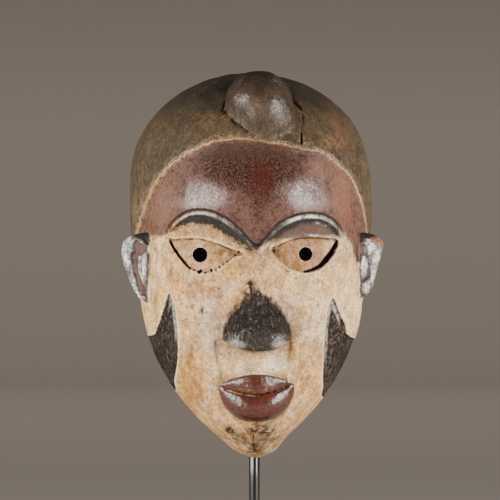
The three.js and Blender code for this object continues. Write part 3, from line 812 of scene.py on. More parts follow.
@dataclass
class Mask:
    """The carved head with its hollow, ears and pierced pupils."""

    head: PlainHead = field(default_factory=PlainHead)
    face: Face = field(default_factory=Face)
    knot: Knot = field(default_factory=Knot)
    cracks: Cracks = field(default_factory=Cracks)
    wall: float = 10.0
    face_wall: float = 12.0
    outer_cells: int = 288
    inner_cells: int = 96
    pupils: Rows = ((-41.0, 150.5, 5.35), (35.5, 151.0, 5.1))
    pupil_sides: int = 48
    cutter_ends: tuple[float, float] = (-140.0, -60.0)
    near_rounds: int = 10
    broad_rounds: int = 220
    sharp_angle: float = 50.0

    def hair_distance(self, x: Array, y: Array, z: Array) -> Array:
        """How far above the hairline a point lies: the drawn line in front, a sloping plane on the sides.

        Args:
            x, y, z: Places in the mask's frame.

        Returns:
            Distances in millimetres, a little uneven.
        """
        a, b = on_drawing(x, y, z)
        line = self.face.hairline
        places = np.arange(-95.0, 96.0)
        steep = np.interp(a, places, np.abs(np.gradient(curve_height(line, places))))
        front = (b - curve_height(line, a)) / np.hypot(1, steep)
        height, depth, slope = self.face.side_hairline
        plane = (z - height + slope * (y - depth)) / math.hypot(1, slope)
        side = ramp(y, -76, -54)
        return front * (1 - side) + plane * side + 0.9 * wander(x, y, z, 34, 3)

    def outer(self) -> Sheet:
        """The carved outside: the plain head with every relief laid on it.

        The carving moves the surface forwards. The hairline's ledge, the patches, the cracks and the
        unevenness move it along the direction from the head's middle, and the knot along its own.

        Returns:
            The points, with the distances and shares that the paint reads.
        """
        u, v = self.head.grid(self.outer_cells)
        x, y, z = self.head.surface(u, v)
        a, b = on_drawing(x, y, z)
        f = self.face
        out = np.stack([x / self.head.half_width, y / self.head.depth, (z - 170) / 115])
        out /= np.linalg.norm(out, axis=0)
        edge = np.maximum(np.abs(u), np.abs(v)) >= 1 - 1e-9
        facing = ramp(-out[1], 0.15, 0.55)
        to_rim = self.head.rim_y(z) - y

        hair = self.hair_distance(x, y, z)
        ledge = -f.ledge * ramp(-hair, -0.3, 0.9) * ramp(-hair, 45, 6)
        nose_inside = f.nose_inside(a, b)
        lips, lips_inside, below_slit = f.mouth(a, b)
        brow, brow_inside = f.brow(a, b)
        eyes, eye_inside, slits = f.eyes(a, b)
        carving = sum(swelling.at(a, b, f.middle) for swelling in f.swellings)
        carving = (carving + brow + f.socket(a, b) + eyes + f.nose(a, b) + lips + f.muzzle(a, b)) * facing

        patch_inside = f.patches(a, b)
        patch = -f.patch_sink * ramp(patch_inside, -0.2, 1.0) * ramp(to_rim, 2, 10)
        crack_depth, crack_dark = self.cracks.depth(a, b)
        crack_depth, crack_dark = crack_depth * facing, crack_dark * (facing > 0.3)
        uneven = (0.55 * wander(x, y, z, 46, 7) + 0.3 * wander(x, y, z, 15, 11)) * ramp(to_rim, 0, 12)
        uneven = uneven * (1 - 0.8 * ramp(np.maximum(nose_inside, lips_inside), -2, 2))
        rise, knot_share = self.knot.rise(x, y, z)

        y = y - np.where(edge, 0, carving)
        out[1] = np.where(edge, 0, out[1])
        push = ledge + patch - crack_depth + uneven
        lift = self.knot.direction()[:, None, None] * rise
        points = np.stack([x + out[0] * push, y + out[1] * push + lift[1], z + out[2] * push + lift[2]], -1)

        relief = carving + push + rise
        red = (b - curve_height(f.red_line, a)) / np.hypot(1, curve_slope(f.red_line, a))
        values = {
            "hair": hair, "brow": brow_inside, "eye": eye_inside, "nose": nose_inside, "lips": lips_inside,
            "patch": patch_inside, "knot": (1 - knot_share) * 25, "dark": np.maximum(slits, crack_dark),
            "slit": below_slit, "red": red,
            "centre": polygon_distance(a, b, smooth_outline(f.dark_centre, STROKE_STEPS)),
            "edge": self.sharpness(relief, self.near_rounds),
            "broad": self.sharpness(relief, self.broad_rounds), "across": a, "up": b}
        return Sheet(points.reshape(-1, 3), {key: numbers.ravel() for key, numbers in values.items()})

    def sharpness(self, relief: Array, rounds: int) -> Array:
        """How far the relief stands above its own average nearby.

        Args:
            relief: Heights on the grid.
            rounds: How often each is replaced by its neighbours' average; more rounds look further away.

        Returns:
            Differences in millimetres.
        """
        flat = relief.copy()
        for _ in range(rounds):
            flat[1:-1, 1:-1] = (flat[:-2, 1:-1] + flat[2:, 1:-1] + flat[1:-1, :-2] + flat[1:-1, 2:]) / 4
        return relief - flat

    def inner(self) -> Sheet:
        """The hollow: the plain head thinned by the wall, with the marks of the adze.

        Returns:
            The points.
        """
        u, v = self.head.grid(self.inner_cells)
        x, y, z = self.head.surface(u, v)
        reach = y - self.head.rim_y(z)
        deep = 0.8 * self.wall + z * (self.head.height - 1.9 * self.wall) / self.head.height
        inner_y = self.head.rim_y(deep) + reach * (1 - self.face_wall / self.head.depth)
        edge = np.maximum(np.abs(u), np.abs(v)) >= 1 - 1e-9
        marks = np.where(edge, 0, 0.8 * np.abs(wander(x, y, z, 22, 5)) * ramp(-reach, 4, 20))
        points = np.stack([x * (1 - self.wall / self.head.half_width), inner_y + marks, deep], -1)
        return Sheet(points.reshape(-1, 3))

    def body(self) -> bpy.types.Object:
        """The closed head: outer sheet, inner sheet turned over, and the flat back edge between them.

        Each cell of the inner edge meets three cells of the outer one, in four triangles.

        Returns:
            The head, not yet pierced.
        """
        outer, inner = self.outer(), self.inner()
        n, m = self.outer_cells + 1, self.inner_cells + 1
        first = n * n
        outer_loop, inner_loop = edge_loop(n), edge_loop(m) + first
        after = np.roll(inner_loop, -1)
        start, one, two = (outer_loop[k::3] for k in range(3))
        rim = np.concatenate([
            np.stack([start, inner_loop, one], -1), np.stack([one, inner_loop, two], -1),
            np.stack([two, inner_loop, after], -1), np.stack([two, after, np.roll(start, -1)], -1)])
        faces = [grid_faces(n, n), grid_faces(m, m, first)[:, ::-1], rim]
        plain = np.zeros(len(inner.points))
        values = {key: np.concatenate([numbers, plain]) for key, numbers in outer.values.items()}
        points = to_row_frame(np.concatenate([outer.points, inner.points]))
        made = mesh_object("mask_carving", points, faces, values)
        kinds = np.concatenate([np.zeros(len(faces[0])), np.ones(len(faces[1]) + len(rim))]).astype(np.int32)
        made.data.materials.append(PaintedFace().material())
        made.data.materials.append(BareWood().material())
        made.data.polygons.foreach_set("material_index", kinds)
        return made

    def pierce(self, body: bpy.types.Object) -> None:
        """Cuts the two round pupils through the face with upright-sided rods along y.

        Args:
            body: The closed head.
        """
        cutters = []
        sides = self.pupil_sides
        turn = np.linspace(0, 2 * math.pi, sides, endpoint=False)
        caps = np.stack([np.arange(sides)[::-1], np.arange(sides, 2 * sides)])
        for x, z, radius in self.pupils:
            ring = np.stack([x + radius * np.cos(turn), np.zeros(sides), z + radius * np.sin(turn)], -1)
            points = np.concatenate([ring + [0, end, 0] for end in self.cutter_ends])
            cutter = mesh_object("cutter", to_row_frame(points), [grid_faces(2, sides, wrap=True), caps])
            bm = bmesh.new()
            bm.from_mesh(cutter.data)
            bmesh.ops.recalc_face_normals(bm, faces=bm.faces)
            bm.to_mesh(cutter.data)
            bm.free()
            cut = body.modifiers.new("pupil", "BOOLEAN")
            cut.operation, cut.solver, cut.object = "DIFFERENCE", "MANIFOLD", cutter
            cutters.append(cutter)
        apply_modifiers(body)
        for cutter in cutters:
            bpy.data.objects.remove(cutter)

    def build(self) -> None:
        """Makes the mask's pieces and places them."""
        body = self.body()
        self.pierce(body)
        body.data.shade_smooth()
        body.data.set_sharp_from_angle(angle=math.radians(self.sharp_angle))
        place(body, Slot.WOOD, "mask")
        for side in (-1, 1):
            place(Ear(side=side).build(), Slot.WOOD, "mask")


def edge_loop(size: int) -> Array:
    """The numbers of a square grid's border points, in order round its four sides."""
    first, last = np.arange(size - 1), size - 1
    return np.concatenate([first, first * size + last, last * size + last - first, (last - first) * size])


@dataclass(frozen=True)
class EarDesign:
    """What differs between the ears: how soon the outline narrows, and the carving on the drawing."""

    middle: float
    half_height: float
    taper_from: float
    taper_power: float
    top_power: float
    fold: Points
    leaf: Points
    shade: Points
    inner: float
    clay_top: float
    chip: tuple[float, float, float]


RIGHT_EAR = EarDesign(
    141.0, 25.8, 0.55, 1.3, 4.5,
    ((-86.2, 163.9), (-84, 163.1), (-80.7, 161.7), (-78.7, 159.7), (-77.4, 157.3), (-78.5, 156.7),
     (-80.7, 157.9), (-83.5, 159.9), (-85.4, 161), (-86.6, 156.5), (-86.2, 153.2), (-88.2, 150.8),
     (-88.7, 148.4), (-87.6, 146), (-87.1, 141.9), (-86.8, 138.3), (-85.6, 135.5), (-84.8, 132.3),
     (-84.4, 128.2), (-83.5, 124.2), (-81.9, 121.4), (-79.9, 120.8), (-77.8, 119.1), (-77.8, 117.3),
     (-79.9, 115.3), (-84.4, 115.3), (-88.4, 120.2), (-92, 128.2), (-95.7, 138.3), (-98.1, 148.4),
     (-98.1, 159.3), (-96.5, 165.3), (-91.2, 167.4), (-88, 164.9)),
    ((-84, 149.6), (-81.5, 151.2), (-77.9, 152.8), (-76.6, 152.2), (-76.2, 148.4), (-76, 141.9),
     (-76.2, 137.1), (-76.9, 132.3), (-77.4, 128.2), (-77.9, 125.6), (-79.7, 127.4), (-81.5, 131.1),
     (-82.9, 134.7), (-83.7, 138.3), (-84, 142.3), (-84, 146.4)),
    ((-89.6, 166.6), (-81.5, 170.2), (-79.1, 169.4), (-76.7, 164.9), (-75.9, 160.9), (-77, 156.5),
     (-77.5, 157.6), (-78.7, 159.9), (-80.7, 161.9), (-84, 163.4), (-86.2, 164.2), (-88.2, 165.1),
     (-90, 165.5)),
    -75.8, 163.0, (-93.0, 163.0, 2.0))
LEFT_EAR = EarDesign(
    142.6, 24.2, 0.7, 0.95, 8.0,
    ((81.8, 159.3), (83.2, 162.2), (86.4, 162.9), (90.9, 163.5), (94.1, 165.7), (99.8, 165.3),
     (99.8, 154.5), (97.3, 144.4), (94.9, 136.3), (92.1, 128.2), (90.1, 122.6), (88.1, 118.9),
     (85.4, 119.4), (83.7, 120.8), (81.8, 121.3), (80.5, 121.7), (80.3, 124.2), (80.6, 127.4),
     (81.4, 130), (83.4, 131.5), (85.2, 132.9), (86.3, 136.3), (86.6, 140.3), (86.6, 144.4),
     (85.7, 148.4), (84.2, 151.2), (83.5, 154.5), (82.8, 157.3)),
    ((80.8, 151), (82.1, 151.2), (84.4, 148.8), (85.6, 146.8), (85.8, 141.9), (85.3, 137.1),
     (84.6, 134.9), (83.5, 133.7), (82.1, 131.5), (80.8, 130.8), (80.2, 134.3), (79.9, 138.3),
     (79.9, 142.3), (80.2, 146.8)),
    ((82.2, 170.2), (86.4, 170.2), (90.9, 167.4), (92.9, 164.9), (90.5, 163.9), (86.4, 163.1),
     (83.2, 162.4), (81.4, 159.5), (80.4, 160.5), (80.8, 165.3)),
    79.3, 145.0, (94.0, 162.5, 6.0))


@dataclass
class Ear:
    """One ear: a leaf-shaped slab with a rolled edge, a valley inside it and a small inner leaf."""

    side: int = 1
    x: float = 78.0
    y: float = -66.0
    turn: float = 47.0
    width: float = 24.0
    taper_loss: float = 0.8
    root: float = 12.0
    half_thickness: float = 4.3
    rings: int = 110
    around: int = 180

    @property
    def design(self) -> EarDesign:
        """The design of this side's ear."""
        return LEFT_EAR if self.side > 0 else RIGHT_EAR

    def reach(self, height: Array) -> Array:
        """How far the ear stands out at a height from -1 to 1: square at the top, narrowing to its lobe.

        Args:
            height: Heights from -1 to 1.

        Returns:
            Reaches in millimetres.
        """
        d = self.design
        fall = np.clip((d.taper_from - height) / (d.taper_from + 1), 0, 1) ** d.taper_power
        round_ends = np.clip(1 - np.abs(height) ** d.top_power, 0, 1) ** 0.4
        return self.width * round_ends * (1 - self.taper_loss * fall)

    def place_point(self, p: Array, out: Array, q: Array) -> Array:
        """Points of the ear in the mask's frame.

        Args:
            p: How far they stand out along the ear.
            out: How far they lie in front of its middle.
            q: Their heights above its middle.

        Returns:
            The points.
        """
        angle = math.radians(self.turn)
        x = self.side * (self.x + p * math.cos(angle) + out * math.sin(angle))
        y = self.y + p * math.sin(angle) - out * math.cos(angle)
        return np.stack([x, y, self.design.middle + q], -1)

    def relief(self, a: Array, b: Array) -> tuple[Array, Array, Array, Array]:
        """The carving on the ear's front: everything stands up except the valley and the dark top.

        Args:
            a, b: Places on the drawing.

        Returns:
            The height, the distance inside the valley, and the shares of the worn corner and the dark top.
        """
        d = self.design
        fold = polygon_distance(a, b, smooth_outline(d.fold, 4))
        leaf = polygon_distance(a, b, smooth_outline(d.leaf, 4))
        chip = ramp(np.hypot(a - d.chip[0], b - d.chip[1]), d.chip[2] + 1.5, d.chip[2] - 1.5)
        shade = ramp(polygon_distance(a, b, smooth_outline(d.shade, 4)), -0.5, 0.5)
        raised = 3.4 * self.round_edge(fold, 4.5) + 2.6 * self.round_edge(leaf, 3.5)
        beyond = ramp(self.side * (d.inner - a), -0.4, 1.6)
        valley = -np.maximum(fold, leaf)
        return raised - 0.8 * chip - 0.6 * shade - 5.0 * beyond, valley, chip, shade

    def round_edge(self, inside: Array, width: float) -> Array:
        """A rise from 0 at an outline to 1 at width inside it, a quarter of an ellipse."""
        return np.sqrt(1 - (1 - np.clip(inside / width, 0, 1)) ** 2)

    def build(self) -> bpy.types.Object:
        """A closed surface: rings of a rounded section from lobe to top, its front half carrying the relief.

        Returns:
            The ear.
        """
        rings = -np.cos(np.linspace(0, math.pi, self.rings + 1))[1:-1]
        turns = np.linspace(0, 2 * math.pi, self.around, endpoint=False)
        height, around = np.meshgrid(rings, turns, indexing="ij")
        c, s = np.cos(around), self.side * np.sin(around)
        k = (np.abs(c) ** 3 + np.abs(s) ** 3) ** (-1 / 3)
        reach = (self.reach(height) + self.root) / 2
        q = self.design.half_height * height
        p = reach - self.root + reach * k * c
        thin = np.sqrt(np.clip(1 - height**6, 0, 1))
        x, y, z = np.moveaxis(self.place_point(p, -self.half_thickness * k * s * thin, q), -1, 0)
        a, b = on_drawing(x, y, z)
        carved, valley, chip, shade = self.relief(a, b)
        uneven = 0.35 * wander(x, y, z, 9, 21)
        front = np.where(s < 0, (carved + uneven) * thin * ramp(-s, 0, 0.6), 0)
        points = self.place_point(p, -self.half_thickness * k * s * thin + front, q).reshape(-1, 3)
        poles = []
        for end in (-1.0, 1.0):
            stands_out = (self.reach(np.array(end)) - self.root) / 2
            poles.append(self.place_point(stands_out, 0.0, self.design.half_height * end))
        inner = np.minimum(self.side * (self.design.inner - a) + 1.5, self.design.clay_top - b)
        valley = np.where(s < 0.1, valley, -5.0)
        shade = np.where(s < 0.1, shade, 0.6 * ramp(height, 0.5, 0.9))
        at_poles = {"valley": (valley, -5.0, -5.0), "chip": (chip, 0.0, 0.0), "shade": (shade, 0.0, 1.0),
                    "inner": (inner, 0.0, 0.0)}
        values = {}
        for key, (numbers, low, high) in at_poles.items():
            values[key] = np.append(numbers.ravel(), [low, high])
        name = "ear_left" if self.side > 0 else "ear_right"
        made = mesh_object(name, to_row_frame(np.vstack([points, *poles])), self.faces(len(rings)), values)
        made.data.materials.append(EarPaint().material())
        return made

    def faces(self, rows: int) -> list[Array]:
        """The quads between the rings and the triangles that close both ends.

        Args:
            rows: How many rings there are.

        Returns:
            The quads, the lower triangles and the upper ones.
        """
        ring = np.arange(self.around)
        after = np.roll(ring, -1)
        top = (rows - 1) * self.around
        low = rows * self.around
        return [grid_faces(rows, self.around, wrap=True),
                np.stack([np.full(self.around, low), after, ring], -1),
                np.stack([np.full(self.around, low + 1), top + ring, top + after], -1)]


class Shader:
    """A short way to write a node tree: every method adds nodes and returns an output socket."""

    def __init__(self, tree: bpy.types.NodeTree) -> None:
        """Starts on a node tree."""
        self.tree = tree

    def feed(self, node: bpy.types.Node, inputs: dict) -> None:
        """Sets a node's inputs to numbers or colours, or links them to sockets.

        Args:
            node: The node.
            inputs: Values or sockets by input name or place.
        """
        for key, value in inputs.items():
            socket = node.inputs[key]
            if isinstance(value, Socket):
                self.tree.links.new(value, socket)
            elif socket.type == "RGBA" and len(value) == 3:
                socket.default_value = (*value, 1.0)
            else:
                socket.default_value = value

    def add(self, kind: str, inputs: dict | None = None, **settings: object) -> bpy.types.Node:
        """Adds a node.

        Args:
            kind: The node's type.
            inputs: Values or sockets by input name or place.
            settings: The node's own settings.

        Returns:
            The node.
        """
        node = self.tree.nodes.new(kind)
        for key, value in settings.items():
            setattr(node, key, value)
        self.feed(node, inputs or {})
        return node

    def value(self, name: str) -> Socket:
        """A number kept on the mesh."""
        return self.add("ShaderNodeAttribute", attribute_name=name).outputs["Fac"]

    def math(self, operation: str, first: Value, second: Value = 0.0, clamp: bool = False) -> Socket:
        """A sum, product or other operation on two numbers."""
        node = self.add("ShaderNodeMath", {0: first, 1: second}, operation=operation, use_clamp=clamp)
        return node.outputs[0]

    def times(self, *shares: Value) -> Value:
        """The product of several shares."""
        return reduce(lambda product, share: self.math("MULTIPLY", product, share), shares)

    def highest(self, *numbers: Value) -> Value:
        """The highest of several numbers."""
        return reduce(lambda top, number: self.math("MAXIMUM", top, number), numbers)

    def rest(self, share: Value) -> Socket:
        """What a share leaves of 1."""
        return self.math("SUBTRACT", 1.0, share)

    def away_from(self, number: Value, middle: float) -> Socket:
        """How far a number is from a middle value."""
        return self.math("ABSOLUTE", self.math("SUBTRACT", number, middle))

    def step(self, number: Value, start: Value, end: Value, low: float = 0.0, high: float = 1.0) -> Socket:
        """A smooth step from low at start to high at end; start may be the larger."""
        inputs = {"Value": number, "From Min": start, "From Max": end, "To Min": low, "To Max": high}
        return self.add("ShaderNodeMapRange", inputs, interpolation_type="SMOOTHSTEP").outputs["Result"]

    def near(self, number: Value, middle: float, outer: float, inner: float) -> Socket:
        """A band about a middle value: 1 within inner of it, 0 beyond outer."""
        return self.step(self.away_from(number, middle), outer, inner)

    def noise(self, vector: Value, scale: Value, detail: float, rough: float,
              stretch: Colour | None = None) -> Socket:
        """Cloudy noise around 0.5.

        Args:
            vector: Where it is read.
            scale: Waves per metre.
            detail: How many finer waves are added.
            rough: How strong the finer waves are.
            stretch: Factors on the three axes.

        Returns:
            The noise.
        """
        if stretch:
            vector = self.add("ShaderNodeMapping", {"Vector": vector, "Scale": stretch}).outputs["Vector"]
        inputs = {"Vector": vector, "Scale": scale, "Detail": detail, "Roughness": rough}
        return self.add("ShaderNodeTexNoise", inputs).outputs["Fac"]

    def mix(self, share: Value, first: Paint, second: Paint, kind: str = "MIX") -> Socket:
        """The second colour blended over the first by share."""
        inputs = {"Factor": share, 6: first, 7: second}
        return self.add("ShaderNodeMix", inputs, data_type="RGBA", blend_type=kind).outputs[2]

    def blend(self, share: Value, first: Value, second: Value) -> Socket:
        """The second number blended into the first by share."""
        return self.add("ShaderNodeMix", {0: share, 2: first, 3: second}, data_type="FLOAT").outputs[0]

    def over(self, colour: Paint, tint: Paint, *shares: Value) -> Socket:
        """A tint laid over a colour by the product of shares."""
        return self.mix(self.times(*shares), colour, tint)

    def layers(self, colour: Paint, *rows: tuple[Value, float, float, float, Paint]) -> Paint:
        """Lays tints over a colour, one after the other.

        Args:
            colour: The colour beneath.
            rows: A number, the start and end of its smooth step, the share there, and the tint.

        Returns:
            The colour with all of them on it.
        """
        for number, start, end, share, tint in rows:
            colour = self.mix(self.step(number, start, end, 0.0, share), colour, tint)
        return colour

    def bumps(self, *rows: tuple[Socket, float, float]) -> Socket:
        """Fine relief from several heights.

        Args:
            rows: Each height, its distance in metres and its strength.

        Returns:
            The normal.
        """
        normal = None
        for height, distance, strength in rows:
            inputs = {"Height": height, "Distance": distance, "Strength": strength}
            if normal is not None:
                inputs["Normal"] = normal
            normal = self.add("ShaderNodeBump", inputs).outputs["Normal"]
        return normal


@dataclass(frozen=True)
class SharedEffect:
    """An effect kept as a node group: a vector, some numbers and one output."""

    name: str
    numbers: tuple[str, ...]
    output: str
    formula: Callable[[Shader, dict[str, Socket]], Socket]

    def tree(self) -> bpy.types.NodeTree:
        """The node group, made when it is first asked for.

        Returns:
            The group.
        """
        tree = bpy.data.node_groups.get(self.name)
        if tree:
            return tree
        tree = bpy.data.node_groups.new(self.name, "ShaderNodeTree")
        tree.interface.new_socket("Vector", in_out="INPUT", socket_type="NodeSocketVector")
        for key in self.numbers:
            tree.interface.new_socket(key, in_out="INPUT", socket_type="NodeSocketFloat")
        tree.interface.new_socket(self.output, in_out="OUTPUT", socket_type="NodeSocketFloat")
        given = tree.nodes.new("NodeGroupInput").outputs
        result = self.formula(Shader(tree), given)
        tree.links.new(result, tree.nodes.new("NodeGroupOutput").inputs[self.output])
        return tree


def ragged_edge(s: Shader, given: dict[str, Socket]) -> Socket:
    """A painted area's edge: the distance, moved by noise, in a smooth step twice the softness wide.

    Args:
        s: The node tree.
        given: The group's inputs.

    Returns:
        The mask.
    """
    noise = s.noise(given["Vector"], given["Scale"], 5.0, 0.62)
    moved = s.math("ADD", given["Distance"], s.times(s.math("SUBTRACT", noise, 0.5), given["Wobble"]))
    return s.step(moved, s.times(given["Softness"], -1.0), given["Softness"])


def wood_grain(s: Shader, given: dict[str, Socket]) -> Socket:
    """Fine upright grain: noise stretched upwards, with finer pores in it, as a height around 0.5.

    Args:
        s: The node tree.
        given: The group's inputs.

    Returns:
        The height.
    """
    inputs = {"Vector": given["Vector"], "Scale": (1.0, 1.0, 0.09)}
    upright = s.add("ShaderNodeMapping", inputs).outputs["Vector"]
    fibres = s.noise(upright, given["Scale"], 6.0, 0.7)
    pores = s.noise(upright, s.times(given["Scale"], 3.1), 2.0, 0.5)
    return s.math("ADD", s.times(fibres, 0.65), s.times(pores, 0.35))


def speckle(s: Shader, given: dict[str, Socket]) -> Socket:
    """Scattered worn spots: noise cut off at 1 minus the amount.

    Args:
        s: The node tree.
        given: The group's inputs.

    Returns:
        The mask.
    """
    noise = s.noise(given["Vector"], given["Scale"], 5.0, 0.65)
    level = s.rest(given["Amount"])
    inputs = {"Value": noise, "From Min": level, "From Max": s.math("ADD", level, 0.05)}
    return s.add("ShaderNodeMapRange", inputs).outputs["Result"]


RAGGED_EDGE = SharedEffect("ragged_edge", ("Distance", "Wobble", "Softness", "Scale"), "Mask", ragged_edge)
WOOD_GRAIN = SharedEffect("wood_grain", ("Scale",), "Height", wood_grain)
SPECKLE = SharedEffect("speckle", ("Scale", "Amount"), "Mask", speckle)


class Finish(Shader):
    """The node tree of a new material, read at the object's own coordinates."""

    def __init__(self, name: str) -> None:
        """Makes the material.

        Args:
            name: Its name.
        """
        self.material = bpy.data.materials.new(name)
        self.material.use_nodes = True
        super().__init__(self.material.node_tree)
        self.at = self.add("ShaderNodeTexCoord").outputs["Object"]

    def cloud(self, scale: float, detail: float, rough: float, stretch: Colour | None = None) -> Socket:
        """Noise at the object's coordinates."""
        return self.noise(self.at, scale, detail, rough, stretch)

    def effect(self, effect: SharedEffect, **numbers: Value) -> Socket:
        """A shared effect at the object's coordinates."""
        inputs = {"Vector": self.at, **numbers}
        return self.add("ShaderNodeGroup", inputs, node_tree=effect.tree()).outputs[effect.output]

    def area(self, distance: Value, wobble: Value, soft: Value, scale: float = 300.0) -> Socket:
        """The mask of an area from the distance inside it, how far noise moves its edge and its softness."""
        return self.effect(RAGGED_EDGE, Distance=distance, Wobble=wobble, Softness=soft, Scale=scale)

    def shade(self, inputs: dict[str, Value]) -> bpy.types.Material:
        """Feeds the surface's inputs and gives back the finished material."""
        self.feed(self.tree.nodes["Principled BSDF"], inputs)
        return self.material


class FaceFinish(Finish):
    """The painted face's node tree, with the noises, places and painted areas that its layers share."""

    def __init__(self, name: str) -> None:
        """Adds what the layers share.

        Args:
            name: The material's name.
        """
        super().__init__(name)
        self.clouds = self.cloud(34.0, 5.0, 0.6)
        self.patches = self.cloud(78.0, 4.0, 0.6)
        self.fine = self.cloud(260.0, 4.0, 0.65)
        self.grit = self.cloud(760.0, 3.0, 0.7)
        self.streaks = self.cloud(150.0, 5.0, 0.65, (1.0, 1.0, 0.14))
        self.fibres = self.cloud(520.0, 4.0, 0.6, (1.0, 1.0, 0.18))
        self.sand = self.cloud(560.0, 2.0, 0.8)
        self.pepper = self.cloud(900.0, 2.0, 0.6)
        self.lumps = self.cloud(420.0, 4.0, 0.65, (1.0, 1.0, 0.75))
        self.up, self.across = self.value("up"), self.value("across")
        self.beside = self.away_from(self.across, 2.0)
        self.knot = self.inside("knot", 1.5, 0.8)
        self.hair = self.inside("hair", 0.9, 0.35)
        self.lips = self.inside("lips", 1.6, 0.5)
        self.patch = self.inside("patch", 1.4, 0.4)
        ragged_temple = self.step(self.across, -62.0, -70.0, 1.2, 8.0)
        soft_temple = self.step(self.beside, 62.0, 70.0, 0.4, 2.4)
        under_hair = self.rest(self.inside("hair", 0.9, 0.3, 0.3))
        self.red = self.times(self.inside("red", ragged_temple, soft_temple), under_hair)
        ragged_bridge = self.step(self.up, 88.0, 122.0, 2.5, 12.0)
        self.nose = self.inside("nose", ragged_bridge, self.step(self.up, 88.0, 122.0, 0.6, 2.6))
        ragged_left = self.step(self.across, 8.0, -4.0, 4.0, 11.0)
        below_red = self.rest(self.inside("red", 1.2, 0.4))
        self.brow = self.times(self.inside("brow", ragged_left, 1.8), below_red)
        self.rim = self.times(self.inside("hair", 1.2, 0.4), self.rest(self.inside("hair", 2.4, 0.9, -1.7)))

    def inside(self, name: str, wobble: Value, soft: Value, shift: float = 0.0,
               scale: float = 300.0) -> Socket:
        """The mask of an area whose distance is kept on the mesh, grown outwards by shift."""
        distance = self.value(name)
        return self.area(self.math("ADD", distance, shift) if shift else distance, wobble, soft, scale)

    def spot(self, a: float, b: float, width: float, height: float) -> Socket:
        """A soft round spot on the drawing, by the distance from its middle in shares of its size.

        Args:
            a, b: Its middle.
            width, height: Its size both ways.

        Returns:
            1 in its middle and 0 from a quarter beyond its size.
        """
        squares = []
        for number, middle, size in ((self.across, a, width), (self.up, b, height)):
            share = self.math("DIVIDE", self.math("SUBTRACT", number, middle), size)
            squares.append(self.times(share, share))
        return self.step(self.math("SQRT", self.math("ADD", *squares)), 1.25, 0.25)

    def stains_and_light(self, colour: Paint, rows: StainsAndLight, broken: Value) -> Paint:
        """Lays soft spots over a colour, one after the other: stained places, and in some tables painted
        light and shade.

        Args:
            colour: The colour beneath.
            rows: Each spot's place, its size both ways, its share and its screen colour.
            broken: The share by which all of them are broken up.

        Returns:
            The stained colour.
        """
        for a, b, width, height, share, tint in rows:
            colour = self.over(colour, linear(*tint), self.spot(a, b, width, height), broken, share)
        return colour


